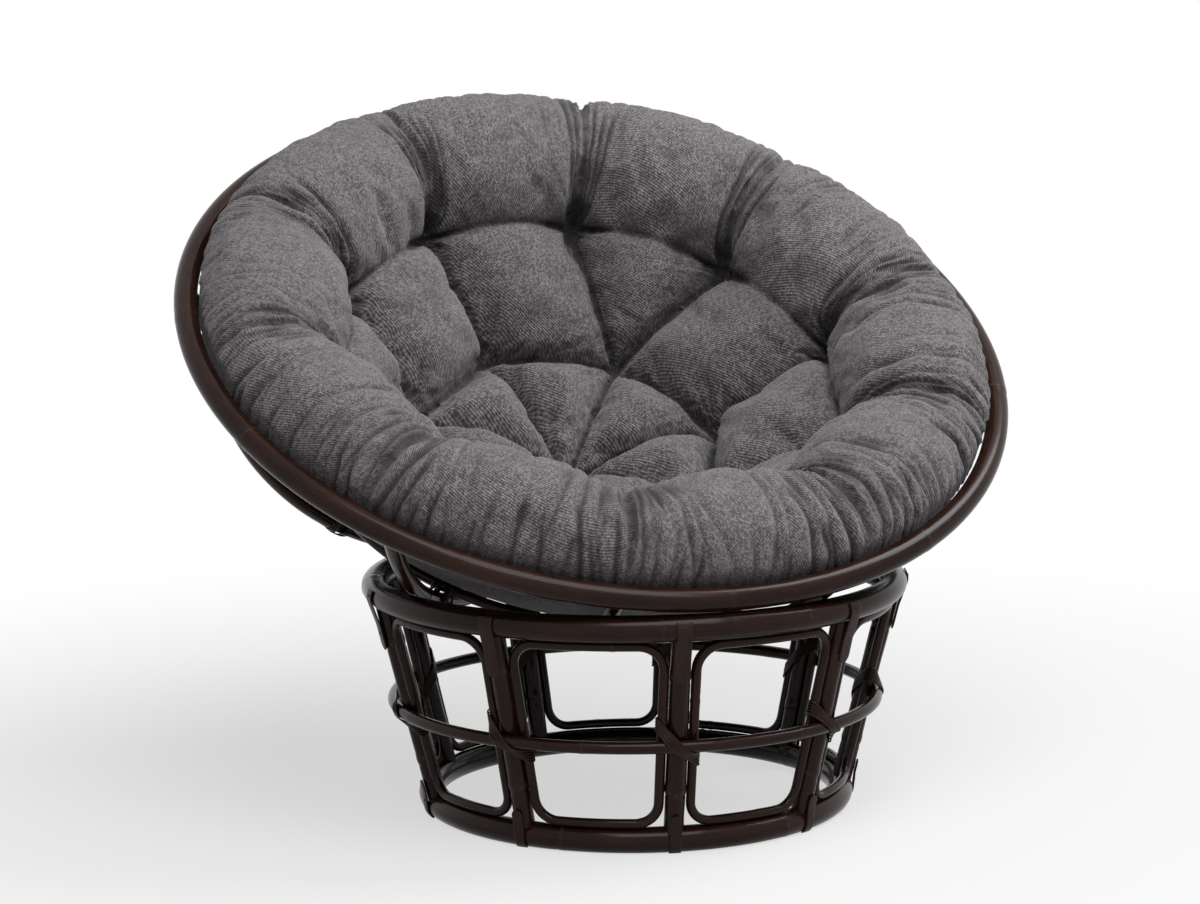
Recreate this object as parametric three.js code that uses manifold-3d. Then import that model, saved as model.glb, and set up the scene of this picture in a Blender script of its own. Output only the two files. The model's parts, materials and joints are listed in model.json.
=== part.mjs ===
// Papasan chair: a round bowl of bent rattan poles that leans in a low stand of posts and cane loops,
// with one thick tufted cushion lying loose in the bowl.
// Millimetres, +Z up, the open side of the bowl looks towards -Y.
import * as THREE from "three";
import { mergeVertices } from "three/addons/utils/BufferGeometryUtils.js";
import Module from "manifold-3d";

const wasm = await Module();
wasm.setup();

// Clearances
const seatGap = 0.3; // between pieces that touch
const slideGap = 0.5; // between the bowl and the ring that it slides on
const cushionGap = 0.8; // between the cushion and the hoops under it

// Stand rings
const topRingRadius = 335;
const topRingTube = 16.5;
const topRingHeight = 289;
const topRingSides = 8;
const footRingRadius = 266;
const footRingTube = 16;
const footRingSides = 8;
const topRingSegments = 72;
const footRingSegments = 54;

// Stand posts
const postCount = 9;
const postTurn = THREE.MathUtils.degToRad(-11);
const postRadius = 12.5;
const postNodeRadius = 13.2; // the growth rings of the pole
const postNodeLength = 9;
const postNodeShares = [0.24, 0.79];
const postSides = 8;

// Panel loops: one closed loop of bent cane between each two posts
const loopTube = 6;
const loopCorner = 30;
const loopSides = 6;
const loopCornerSteps = 3;
const loopEdgeSteps = 4;

// Hoop round the middle of the stand: it lies on the loops, let into a notch in each post, under a lashing
const midHoopTube = 8;
const midHoopHeightShare = 0.47;
const midHoopSides = 6;
const midHoopSegments = 54;
const lashingWidth = 11;
const lashingThickness = 2.2;
const lashingTilt = THREE.MathUtils.degToRad(42);
const lashingSides = 14;

// Straps from the top ring down the outside of each post
const strapWidth = 19;
const strapThickness = 2.4;
const strapDrop = 66; // below the centre line of the ring
const strapLeadShare = 0.5; // of the drop, where the strap lands on the post
const strapHook = THREE.MathUtils.degToRad(48); // how far it reaches up round the ring
const strapSteps = 4;

// Bowl
const rimRadius = 540;
const rimTube = 15;
const rimSides = 8;
const rimSegments = 84;
const rimToCentre = 251; // from the rim's plane to the centre of the bowl's sphere
const ribCount = 12;
const ribTube = 10;
const ribSides = 8;
const ribSteps = 10;
const ribFootOverhang = 24; // past the base hoop
const upperHoopTube = 7;
const upperHoopDrop = 30; // below the rim, along the bowl
const upperHoopSegments = 60;
const middleHoopTube = 7;
const middleHoopRadius = 352;
const middleHoopSegments = 48;
const baseHoopTube = 7;
const baseHoopRadius = 112;
const baseHoopSegments = 36;
const hoopSides = 6;

// Cushion
const rollRadius = 94; // of the outer roll, which the bowl flattens from below
const rollInset = 116; // of the roll's centre from the rim's centre line
const rollCentreDrop = 9; // below the rim's plane
const padThickness = 138;
const tuftThickness = 42;
const furrowDepth = 34; // of the furrow that joins the outer tufts
const furrowReach = 44;
const tuftReach = 62;
const outerTuftCount = 10;
const outerTuftTurn = THREE.MathUtils.degToRad(22);
const outerTuftPolar = THREE.MathUtils.degToRad(48);
const innerTuftCount = 7;
const innerTuftTurn = THREE.MathUtils.degToRad(-8.3);
const innerTuftPolar = THREE.MathUtils.degToRad(26);
const gatherDepth = 20; // of the folds that run over the roll from the outer tufts
const cushionSegments = 50;
const padSteps = 9;
const rollSteps = 8;
const underHalfway = 0.5; // share between two rows of the underside that lie on hoops

// Colours
const rattanColour = 0x3a2620;
const peelColour = 0x4a3026;
const fabricColour = 0x5f5960;

const fullTurn = 2 * Math.PI;

// Solids and geometries

function toSolid(geometry) {
  const plain = geometry.clone();
  plain.deleteAttribute("normal");
  plain.deleteAttribute("uv");
  const merged = mergeVertices(plain);
  const mesh = new wasm.Mesh({
    numProp: 3,
    vertProperties: new Float32Array(merged.attributes.position.array),
    triVerts: new Uint32Array(merged.index.array),
  });
  return new wasm.Manifold(mesh);
}

function toGeometry(solid) {
  const mesh = solid.getMesh();
  const geometry = new THREE.BufferGeometry();
  geometry.setAttribute("position", new THREE.BufferAttribute(mesh.vertProperties, 3));
  geometry.setIndex(new THREE.BufferAttribute(mesh.triVerts, 1));
  geometry.computeVertexNormals();
  return geometry;
}

// The point at a radius from the Z axis, on the side that an angle from -Y towards +X gives.
function onCircle(radius, angle, height) {
  return new THREE.Vector3(radius * Math.sin(angle), -radius * Math.cos(angle), height);
}

// The edge of a ring's section that leaves a flat straight below.
function flatBelow(sides) {
  return Math.PI / sides - Math.PI / 2;
}

// A round ring about Z. firstEdge is the angle of one edge of its section, from straight outwards.
function ringGeometry(radius, tube, sides, segments, firstEdge = flatBelow(sides)) {
  const profile = [];
  for (let i = 0; i <= sides; i += 1) {
    const angle = firstEdge + (i / sides) * fullTurn;
    profile.push(new THREE.Vector2(radius + tube * Math.cos(angle), tube * Math.sin(angle)));
  }
  const ring = new THREE.LatheGeometry(profile, segments);
  ring.rotateX(Math.PI / 2);
  return ring;
}

// The same ring with every face moved out by a clearance, to cut a saddle in what butts against it.
function ringCutter(radius, tube, sides, segments, firstEdge) {
  const grown = tube + seatGap / Math.cos(Math.PI / sides);
  return ringGeometry(radius, grown, sides, segments, firstEdge);
}

// A round section with an edge straight up.
function polygonShape(radius, sides) {
  const points = [];
  for (let i = 0; i < sides; i += 1) {
    const angle = Math.PI / 2 + (i / sides) * fullTurn;
    points.push(new THREE.Vector2(radius * Math.cos(angle), radius * Math.sin(angle)));
  }
  return new THREE.Shape(points);
}

// A closed surface through rows of points that all have the same length. The rows join end to end.
function closedRows(rows) {
  const rowLength = rows[0].length;
  const positions = rows.flat().flatMap((point) => [point.x, point.y, point.z]);
  const index = [];
  for (let i = 0; i < rows.length; i += 1) {
    const next = (i + 1) % rows.length;
    for (let j = 0; j < rowLength; j += 1) {
      const side = (j + 1) % rowLength;
      const a = i * rowLength + j;
      const b = next * rowLength + j;
      const c = next * rowLength + side;
      const d = i * rowLength + side;
      index.push(a, b, c, a, c, d);
    }
  }
  const geometry = new THREE.BufferGeometry();
  geometry.setAttribute("position", new THREE.Float32BufferAttribute(positions, 3));
  geometry.setIndex(index);
  geometry.computeVertexNormals();
  return geometry;
}

function meshOf(name, geometry, colour, roughness, metalness = 0) {
  const material = new THREE.MeshStandardMaterial({ color: colour, roughness, metalness });
  const mesh = new THREE.Mesh(geometry, material);
  mesh.name = name;
  return mesh;
}

function rattan(name, geometry) {
  return meshOf(name, geometry, rattanColour, 0.38);
}

function peel(name, geometry) {
  return meshOf(name, geometry, peelColour, 0.5);
}

// Copies of one piece set round the Z axis, each under its own name.
function roundAbout(group, count, prefix, geometry, finish) {
  for (let i = 0; i < count; i += 1) {
    const mesh = finish(`${prefix}_${i + 1}`, geometry);
    mesh.rotation.z = (i / count) * fullTurn;
    group.add(mesh);
  }
}

// How the bowl lies in the stand: its ribs are arcs of one sphere, which slides on the top ring.

const sphereRadius = Math.hypot(rimRadius, rimToCentre);
const rimPolar = Math.atan2(rimRadius, rimToCentre);
const ribOutside = sphereRadius + ribTube;

// The bowl's centre stands over the stand where the ribs just clear the top ring.
const ringToCentre = ribOutside + slideGap + topRingTube;
const ringPolar = Math.asin(topRingRadius / ringToCentre);
const centreHeight = topRingHeight + ringToCentre * Math.cos(ringPolar);

// It leans forward until the rim meets the top ring in front, and could lean back as far.
const stopDistance = rimTube + slideGap + topRingTube;
const stopCosine = (sphereRadius ** 2 + ringToCentre ** 2 - stopDistance ** 2) / (2 * sphereRadius * ringToCentre);
const restTilt = rimPolar - ringPolar - Math.acos(stopCosine);

// One edge of the top ring's section faces the ribs.
const topRingEdge = Math.atan2(centreHeight - topRingHeight, -topRingRadius);

// Stand: everything below is set out on the cone that both ring centre lines lie on.

const footRingHeight = footRingTube * Math.cos(Math.PI / footRingSides);
const coneRise = topRingHeight - footRingHeight;
const coneSpread = topRingRadius - footRingRadius;
const slantLength = Math.hypot(coneRise, coneSpread);
const lean = Math.atan2(coneSpread, coneRise);

function coneRadius(slant) {
  return footRingRadius + slant * Math.sin(lean);
}

// The point on the cone at a slant distance above the foot ring and an angle round it.
function onCone(slant, angle) {
  return onCircle(coneRadius(slant), angle, footRingHeight + slant * Math.cos(lean));
}

function coneNormal(angle) {
  return onCircle(Math.cos(lean), angle, -Math.sin(lean));
}

const upTheSlant = onCone(slantLength, 0).sub(onCone(0, 0)).normalize();

// The hoop lies on the outside of the loops.
const midHoopOffset = loopTube + seatGap + midHoopTube;
const midHoopSlant = midHoopHeightShare * slantLength;
const midHoopCentre = onCone(midHoopSlant, 0).addScaledVector(coneNormal(0), midHoopOffset);
const midHoopRadius = -midHoopCentre.y;

// A pole with two growth rings, cut to a saddle over a ring at each end and notched for the hoop.
function postGeometry() {
  const profile = [new THREE.Vector2(0, 0), new THREE.Vector2(postRadius, 0)];
  for (const share of postNodeShares) {
    const height = share * slantLength;
    profile.push(new THREE.Vector2(postRadius, height - postNodeLength));
    profile.push(new THREE.Vector2(postNodeRadius, height));
    profile.push(new THREE.Vector2(postRadius, height + postNodeLength));
  }
  profile.push(new THREE.Vector2(postRadius, slantLength), new THREE.Vector2(0, slantLength));
  const pole = new THREE.LatheGeometry(profile, postSides);
  pole.applyQuaternion(new THREE.Quaternion().setFromUnitVectors(new THREE.Vector3(0, 1, 0), upTheSlant));
  const foot = onCone(0, 0);
  pole.translate(foot.x, foot.y, foot.z);
  const topCut = ringCutter(topRingRadius, topRingTube, topRingSides, topRingSegments, topRingEdge);
  topCut.translate(0, 0, topRingHeight);
  const footCut = ringCutter(footRingRadius, footRingTube, footRingSides, footRingSegments);
  footCut.translate(0, 0, footRingHeight);
  const hoopCut = ringCutter(midHoopRadius, midHoopTube, midHoopSides, midHoopSegments);
  hoopCut.translate(0, 0, midHoopCentre.z);
  const cuts = [topCut, footCut, hoopCut].map(toSolid);
  return toGeometry(cuts.reduce((post, cut) => post.subtract(cut), toSolid(pole)));
}

// The corners of an outline rounded by arcs, with each edge that has steps cut into that many parts.
function roundedOutline(corners, radius, cornerSteps, edgeSteps) {
  const points = [];
  const count = corners.length;
  for (let i = 0; i < count; i += 1) {
    const corner = corners[i];
    const back = corners[(i + count - 1) % count].clone().sub(corner).normalize();
    const ahead = corners[(i + 1) % count].clone().sub(corner).normalize();
    const half = Math.acos(back.dot(ahead)) / 2;
    const middle = back.clone().add(ahead).normalize();
    const centre = corner.clone().addScaledVector(middle, radius / Math.sin(half));
    const start = corner.clone().addScaledVector(back, radius / Math.tan(half)).sub(centre);
    const sweep = Math.PI - 2 * half;
    for (let j = 0; j <= cornerSteps; j += 1) {
      const spoke = start.clone().rotateAround(new THREE.Vector2(0, 0), (j / cornerSteps) * sweep);
      points.push(centre.clone().add(spoke));
    }
    const nextCorner = corners[(i + 1) % count];
    const nextBack = ahead.clone().negate();
    const nextAhead = corners[(i + 2) % count].clone().sub(nextCorner).normalize();
    const nextHalf = Math.acos(nextBack.dot(nextAhead)) / 2;
    const from = points[points.length - 1];
    const to = nextCorner.clone().addScaledVector(nextBack, radius / Math.tan(nextHalf));
    for (let j = 1; j < edgeSteps[i]; j += 1) {
      points.push(from.clone().lerp(to, j / edgeSteps[i]));
    }
  }
  return points;
}

const loopSideOffset = postNodeRadius + seatGap + loopTube;

// One loop of cane, bent to the cone, in the middle of the panel right of the post at angle 0.
function loopGeometry() {
  const low = footRingTube + seatGap + loopTube;
  const high = slantLength - topRingTube - seatGap - loopTube;
  const halfWidth = (slant) => (coneRadius(slant) * Math.PI) / postCount - loopSideOffset;
  const corners = [
    new THREE.Vector2(-halfWidth(low), low),
    new THREE.Vector2(halfWidth(low), low),
    new THREE.Vector2(halfWidth(high), high),
    new THREE.Vector2(-halfWidth(high), high),
  ];
  const outline = roundedOutline(corners, loopCorner, loopCornerSteps, [loopEdgeSteps, 1, loopEdgeSteps, 1]);
  const panelAngle = Math.PI / postCount;
  const angles = outline.map((point) => panelAngle + point.x / coneRadius(point.y));
  const centres = outline.map((point, i) => onCone(point.y, angles[i]));
  const rows = centres.map((centre, i) => {
    const before = centres[(i + centres.length - 1) % centres.length];
    const after = centres[(i + 1) % centres.length];
    const along = after.clone().sub(before).normalize();
    const outward = coneNormal(angles[i]);
    const across = outward.clone().cross(along).normalize();
    const row = [];
    for (let j = 0; j < loopSides; j += 1) {
      const angle = (j / loopSides) * fullTurn;
      const spoke = outward.clone().multiplyScalar(loopTube * Math.cos(angle));
      row.push(centre.clone().add(spoke).addScaledVector(across, loopTube * Math.sin(angle)));
    }
    return row;
  });
  return closedRows(rows);
}

// How far a round bar reaches in a direction within a band that crosses it.
function barReach(bar, direction, bandNormal, halfWidth) {
  const skew = direction.dot(bar.along) / bandNormal.dot(bar.along);
  const level = direction.dot(bar.through) - skew * bandNormal.dot(bar.through);
  const section = direction.clone().addScaledVector(bandNormal, -skew).length();
  return level + halfWidth * Math.abs(skew) + bar.radius * section;
}

// A closed band pulled tight round bars: its inside is the outline that touches them from every side.
function lashingGeometry() {
  const outward = coneNormal(0);
  const sideways = new THREE.Vector3(1, 0, 0);
  const rising = sideways.clone().multiplyScalar(Math.cos(lashingTilt));
  rising.addScaledVector(upTheSlant, Math.sin(lashingTilt));
  const bandNormal = outward.clone().cross(rising);
  const bars = [
    { through: new THREE.Vector3(), along: upTheSlant, radius: postNodeRadius },
    { through: sideways.clone().multiplyScalar(loopSideOffset), along: upTheSlant, radius: loopTube },
    { through: sideways.clone().multiplyScalar(-loopSideOffset), along: upTheSlant, radius: loopTube },
    { through: outward.clone().multiplyScalar(midHoopOffset), along: sideways, radius: midHoopTube },
  ];
  const directionAt = (i) => {
    const angle = (i / lashingSides) * fullTurn;
    return outward.clone().multiplyScalar(Math.cos(angle)).addScaledVector(rising, Math.sin(angle));
  };
  const reachAt = (i) => {
    const reaches = bars.map((bar) => barReach(bar, directionAt(i), bandNormal, lashingWidth / 2));
    return Math.max(...reaches) + seatGap;
  };
  const step = fullTurn / lashingSides;
  const cornerAt = (i, extra) => {
    const here = reachAt(i) + extra;
    const next = reachAt(i + 1) + extra;
    const slide = (next - here * Math.cos(step)) / Math.sin(step);
    const quarter = directionAt(i + lashingSides / 4);
    return directionAt(i).multiplyScalar(here).addScaledVector(quarter, slide);
  };
  const post = onCone(midHoopSlant, 0);
  const rows = [];
  for (let i = 0; i < lashingSides; i += 1) {
    const inner = cornerAt(i, 0).add(post);
    const outer = cornerAt(i, lashingThickness).add(post);
    rows.push([
      inner.clone().addScaledVector(bandNormal, -lashingWidth / 2),
      outer.clone().addScaledVector(bandNormal, -lashingWidth / 2),
      outer.clone().addScaledVector(bandNormal, lashingWidth / 2),
      inner.clone().addScaledVector(bandNormal, lashingWidth / 2),
    ]);
  }
  return closedRows(rows);
}

// A flat strap that hooks over the outside of the top ring and runs down the face of the post.
function strapGeometry() {
  const ringReach = (topRingTube + seatGap) / Math.cos(strapHook / strapSteps / 2);
  const postReach = postNodeRadius + seatGap;
  const landing = new THREE.Vector2(postReach, strapLeadShare * strapDrop);
  const leave = landing.angle() - Math.acos(ringReach / landing.length());
  const inner = [];
  const outer = [];
  for (let i = 0; i <= strapSteps; i += 1) {
    const angle = THREE.MathUtils.lerp(-strapHook, leave, i / strapSteps);
    const spoke = new THREE.Vector2(Math.cos(angle), Math.sin(angle));
    inner.push(spoke.clone().multiplyScalar(ringReach));
    outer.push(spoke.clone().multiplyScalar(ringReach + strapThickness));
  }
  inner.push(landing, new THREE.Vector2(postReach, strapDrop));
  outer.push(landing.clone().setX(postReach + strapThickness));
  outer.push(new THREE.Vector2(postReach + strapThickness, strapDrop));
  const strap = new THREE.ExtrudeGeometry(new THREE.Shape([...inner, ...outer.reverse()]), {
    depth: strapWidth,
    bevelEnabled: false,
  });
  strap.translate(0, 0, -strapWidth / 2);
  const outward = coneNormal(0);
  const down = upTheSlant.clone().negate();
  const sideways = outward.clone().cross(down);
  strap.applyMatrix4(new THREE.Matrix4().makeBasis(outward, down, sideways));
  const ringPoint = onCone(slantLength, 0);
  strap.translate(ringPoint.x, ringPoint.y, ringPoint.z);
  return strap;
}

function buildStand() {
  const stand = new THREE.Group();
  const topRing = ringGeometry(topRingRadius, topRingTube, topRingSides, topRingSegments, topRingEdge);
  topRing.translate(0, 0, topRingHeight);
  const footRing = ringGeometry(footRingRadius, footRingTube, footRingSides, footRingSegments);
  footRing.translate(0, 0, footRingHeight);
  const midHoop = ringGeometry(midHoopRadius, midHoopTube, midHoopSides, midHoopSegments);
  midHoop.translate(0, 0, midHoopCentre.z);
  stand.add(rattan("stand_top_ring", topRing));
  stand.add(rattan("stand_foot_ring", footRing));
  stand.add(rattan("stand_mid_hoop", midHoop));
  roundAbout(stand, postCount, "stand_post", postGeometry(), rattan);
  roundAbout(stand, postCount, "panel_loop", loopGeometry(), rattan);
  roundAbout(stand, postCount, "mid_lashing", lashingGeometry(), peel);
  roundAbout(stand, postCount, "top_strap", strapGeometry(), peel);
  stand.rotation.z = postTurn;
  return stand;
}

// Bowl: its own Z axis runs out of the open side, with zero at the centre of the sphere of the ribs.

function onSphere(radius, polar, angle = 0) {
  return onCircle(radius * Math.sin(polar), angle, -radius * Math.cos(polar));
}

// Each hoop lies inside the ribs.
function hoopSphere(tube) {
  const ribSag = sphereRadius * (1 - Math.cos(ribArc / ribSteps / 2));
  return sphereRadius - ribTube - ribSag - seatGap - tube;
}

const ribFootPolar = (baseHoopRadius - ribFootOverhang) / sphereRadius;
const ribArc = rimPolar - ribFootPolar;

const upperPolar = rimPolar - upperHoopDrop / sphereRadius;
const middlePolar = Math.asin(middleHoopRadius / hoopSphere(middleHoopTube));
const basePolar = Math.asin(baseHoopRadius / hoopSphere(baseHoopTube));

class RibArc extends THREE.Curve {
  getPoint(share, target = new THREE.Vector3()) {
    return target.copy(onSphere(sphereRadius, ribFootPolar + share * ribArc));
  }
}

// A bent pole from under the base hoop up to the rim, cut to a saddle against it.
function ribGeometry() {
  const pole = new THREE.ExtrudeGeometry(polygonShape(ribTube, ribSides), {
    steps: ribSteps,
    extrudePath: new RibArc(),
    bevelEnabled: false,
  });
  const rimCut = ringCutter(rimRadius, rimTube, rimSides, rimSegments);
  rimCut.translate(0, 0, -rimToCentre);
  return toGeometry(toSolid(pole).subtract(toSolid(rimCut)));
}

function hoopGeometry(tube, polar, segments) {
  const place = onSphere(hoopSphere(tube), polar);
  const hoop = ringGeometry(-place.y, tube, hoopSides, segments, polar - Math.PI / 2);
  hoop.translate(0, 0, place.z);
  return hoop;
}

function buildBowl() {
  const bowl = new THREE.Group();
  const rim = ringGeometry(rimRadius, rimTube, rimSides, rimSegments);
  rim.translate(0, 0, -rimToCentre);
  bowl.add(rattan("bowl_rim", rim));
  bowl.add(rattan("bowl_upper_hoop", hoopGeometry(upperHoopTube, upperPolar, upperHoopSegments)));
  bowl.add(rattan("bowl_middle_hoop", hoopGeometry(middleHoopTube, middlePolar, middleHoopSegments)));
  bowl.add(rattan("bowl_base_hoop", hoopGeometry(baseHoopTube, basePolar, baseHoopSegments)));
  roundAbout(bowl, ribCount, "bowl_rib", ribGeometry(), rattan);
  bowl.rotation.z = Math.PI / ribCount;
  return bowl;
}

// Cushion: worked out in the bowl's own frame.

const widestHoop = Math.max(upperHoopTube, middleHoopTube, baseHoopTube);
const underSphere = hoopSphere(widestHoop) - widestHoop - cushionGap;
const rollCentre = new THREE.Vector2(rimRadius - rollInset, -rimToCentre - rollCentreDrop);

function tuftRing(count, polar, turn) {
  const tufts = [];
  for (let i = 0; i < count; i += 1) {
    tufts.push(onSphere(underSphere, polar, turn + (i / count) * fullTurn));
  }
  return tufts;
}

const tufts = [
  onSphere(underSphere, 0),
  ...tuftRing(innerTuftCount, innerTuftPolar, innerTuftTurn),
  ...tuftRing(outerTuftCount, outerTuftPolar, outerTuftTurn),
];

// How much of its thickness the pad keeps at a place: the buttonless tufts draw it down to the stitches.
function padTop(polar, angle) {
  const place = onSphere(underSphere, polar, angle);
  let pull = 0;
  for (const tuft of tufts) {
    pull = Math.max(pull, Math.exp(-((place.distanceTo(tuft) / tuftReach) ** 2)));
  }
  const fromFurrow = (polar - outerTuftPolar) * underSphere;
  const furrow = furrowDepth * Math.exp(-((fromFurrow / furrowReach) ** 2));
  const full = padThickness - furrow * (1 - pull);
  return underSphere - THREE.MathUtils.lerp(full, tuftThickness, pull);
}

// One meridian of the cushion, from the middle of its top over the roll to the middle of its underside.
function meridian(angle) {
  const points = [];
  for (let i = 1; i <= padSteps; i += 1) {
    const polar = (i / padSteps) * outerTuftPolar;
    points.push(onSphere(padTop(polar, angle), polar, angle));
  }
  const tuftFoot = points[points.length - 1];
  const footRadius = Math.hypot(tuftFoot.x, tuftFoot.y);
  const start = new THREE.Vector2(footRadius, tuftFoot.z).sub(rollCentre);
  const reach = rollCentre.length();
  const landing = (reach ** 2 + underSphere ** 2 - rollRadius ** 2) / (2 * reach * underSphere);
  const landingPolar = Math.atan2(rollCentre.x, -rollCentre.y) + Math.acos(landing);
  const end = new THREE.Vector2(Math.sin(landingPolar), -Math.cos(landingPolar)).multiplyScalar(underSphere);
  end.sub(rollCentre);
  const from = start.angle();
  const to = Math.atan2(end.y, end.x);
  const gather = Math.cos(((angle - outerTuftTurn) * outerTuftCount) / 2) ** 4 * gatherDepth;
  for (let i = 1; i <= rollSteps; i += 1) {
    const share = i / rollSteps;
    const turn = THREE.MathUtils.lerp(from, to, share);
    const fold = gather * Math.sin(share * Math.PI);
    const lead = THREE.MathUtils.lerp(start.length(), rollRadius, Math.min(1, 2 * share));
    const spoke = new THREE.Vector2(Math.cos(turn), Math.sin(turn)).multiplyScalar(lead - fold);
    spoke.add(rollCentre);
    points.push(onCircle(spoke.x, angle, spoke.y));
  }
  const underPolars = [
    THREE.MathUtils.lerp(landingPolar, middlePolar, underHalfway),
    middlePolar,
    THREE.MathUtils.lerp(middlePolar, basePolar, underHalfway),
    basePolar,
  ];
  points.push(...underPolars.map((polar) => onSphere(underSphere, polar, angle)));
  return points;
}

function cushionGeometry() {
  const rows = [];
  for (let i = 0; i < cushionSegments; i += 1) {
    rows.push(meridian(outerTuftTurn + (i / cushionSegments) * fullTurn));
  }
  const rowLength = rows[0].length;
  const points = [onSphere(padTop(0, 0), 0), onSphere(underSphere, 0), ...rows.flat()];
  const index = [];
  for (let i = 0; i < cushionSegments; i += 1) {
    const here = 2 + i * rowLength;
    const next = 2 + ((i + 1) % cushionSegments) * rowLength;
    index.push(0, here, next);
    index.push(1, next + rowLength - 1, here + rowLength - 1);
    for (let j = 0; j + 1 < rowLength; j += 1) {
      index.push(here + j, here + j + 1, next + j + 1);
      index.push(here + j, next + j + 1, next + j);
    }
  }
  const geometry = new THREE.BufferGeometry();
  const positions = points.flatMap((point) => [point.x, point.y, point.z]);
  geometry.setAttribute("position", new THREE.Float32BufferAttribute(positions, 3));
  geometry.setIndex(index);
  geometry.computeVertexNormals();
  return geometry;
}

// The whole chair. The bowl and its cushion lean forward together about the centre of the bowl's sphere.

const leaning = new THREE.Group();
leaning.add(buildBowl());
leaning.add(meshOf("seat_cushion", cushionGeometry(), fabricColour, 0.95));
leaning.position.z = centreHeight;
leaning.rotation.x = restTilt;

const chair = new THREE.Group();
chair.add(buildStand(), leaning);

// The origin is on the floor under the middle of the whole chair.
chair.updateMatrixWorld(true);
const bounds = new THREE.Box3().setFromObject(chair, true);
const middle = bounds.getCenter(new THREE.Vector3());
chair.position.set(-middle.x, -middle.y, -bounds.min.z);
chair.updateMatrixWorld(true);

export default chair;
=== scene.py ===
"""A papasan chair: rattan poles, peel bindings and one thick tufted cushion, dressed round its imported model.

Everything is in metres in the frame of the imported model: +Z is up and the open bowl looks towards -Y.
"""

import json
import logging
import math
from dataclasses import dataclass, field
from enum import Enum, IntEnum
from typing import Callable, Sequence, Union

import bmesh
import bpy
import numpy as np
from mathutils import Matrix, Vector


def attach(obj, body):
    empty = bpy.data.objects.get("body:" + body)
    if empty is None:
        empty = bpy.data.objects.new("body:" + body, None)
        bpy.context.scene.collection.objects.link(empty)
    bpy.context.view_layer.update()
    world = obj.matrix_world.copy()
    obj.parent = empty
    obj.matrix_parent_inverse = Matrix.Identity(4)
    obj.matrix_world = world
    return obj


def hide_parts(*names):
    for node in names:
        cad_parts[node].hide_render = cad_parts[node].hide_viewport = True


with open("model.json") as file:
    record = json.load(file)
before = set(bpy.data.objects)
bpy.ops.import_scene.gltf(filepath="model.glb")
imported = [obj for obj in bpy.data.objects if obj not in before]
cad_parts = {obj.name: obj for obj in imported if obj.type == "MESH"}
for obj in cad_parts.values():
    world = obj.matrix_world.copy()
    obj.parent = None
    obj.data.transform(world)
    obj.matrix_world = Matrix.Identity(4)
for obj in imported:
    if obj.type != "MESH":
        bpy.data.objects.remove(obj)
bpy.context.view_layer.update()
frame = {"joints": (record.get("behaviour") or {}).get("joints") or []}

log = logging.getLogger("papasan")
Array = np.ndarray
Colour = tuple[float, float, float]
FULL_TURN = 2 * math.pi
UP = np.array([0.0, 0.0, 1.0])
SHARP_FOLD = math.radians(50)


class Body(Enum):
    """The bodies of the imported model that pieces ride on."""

    STAND = "stand"
    BOWL = "bowl"
    CUSHION = "cushion"


class Slot(Enum):
    """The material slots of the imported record."""

    RATTAN = "rattan"
    PEEL = "peel_binding"
    CLOTH = "cushion_fabric"


class Seed(IntEnum):
    """Where the random draws of each kind of piece start."""

    FOLDS = 5
    TUFT_FOLDS = 9
    TOP_RING = 11
    FOOT_RING = 12
    MID_HOOP = 13
    RUMPLE = 17
    RIM = 21
    BOWL_HOOPS = 22
    TUFT_TIES = 31
    POSTS = 100
    LOOPS = 200
    LASHINGS = 300
    TOP_STRAPS = 400
    FOOT_STRAPS = 500
    RIBS = 600
    BINDINGS = 700
    THREADS = 900


# Vector helpers


def unit(vectors: Array) -> Array:
    """Returns the vectors at length one."""
    return vectors / np.maximum(np.linalg.norm(vectors, axis=-1, keepdims=True), 1e-12)


def mix(a: float | Array, b: float | Array, share: float | Array) -> float | Array:
    """Returns the value that lies a share of the way from a to b."""
    return a + (b - a) * share


def on_circle(radius: float | Array, angle: float | Array, height: float | Array) -> Array:
    """Places points round the Z axis.

    Args:
        radius: distance from the axis.
        angle: turn from -Y towards +X.
        height: place along the axis.

    Returns:
        The points, one row each.
    """
    radius, angle, height = np.broadcast_arrays(radius, angle, height)
    return np.stack([radius * np.sin(angle), -radius * np.cos(angle), height], axis=-1).astype(float)


def even_angles(count: int) -> Array:
    """Returns angles spread evenly over a full turn."""
    return np.arange(count) / count * FULL_TURN


def bearings(angles: Array) -> Array:
    """Returns flat directions at angles from the first axis towards the second."""
    return np.stack([np.cos(angles), np.sin(angles)], axis=-1)


def rounded(share: float | Array) -> float | Array:
    """Returns the height of a quarter circle that rises steeply from 0 and is level from 1 on."""
    return np.sqrt(np.clip(1 - (1 - np.clip(share, 0, 1)) ** 2, 0, 1))


def smooth_step(share: float | Array) -> float | Array:
    """Returns a share eased in and out between 0 and 1."""
    share = np.clip(share, 0, 1)
    return share * share * (3 - 2 * share)


# Shader maths


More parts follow.
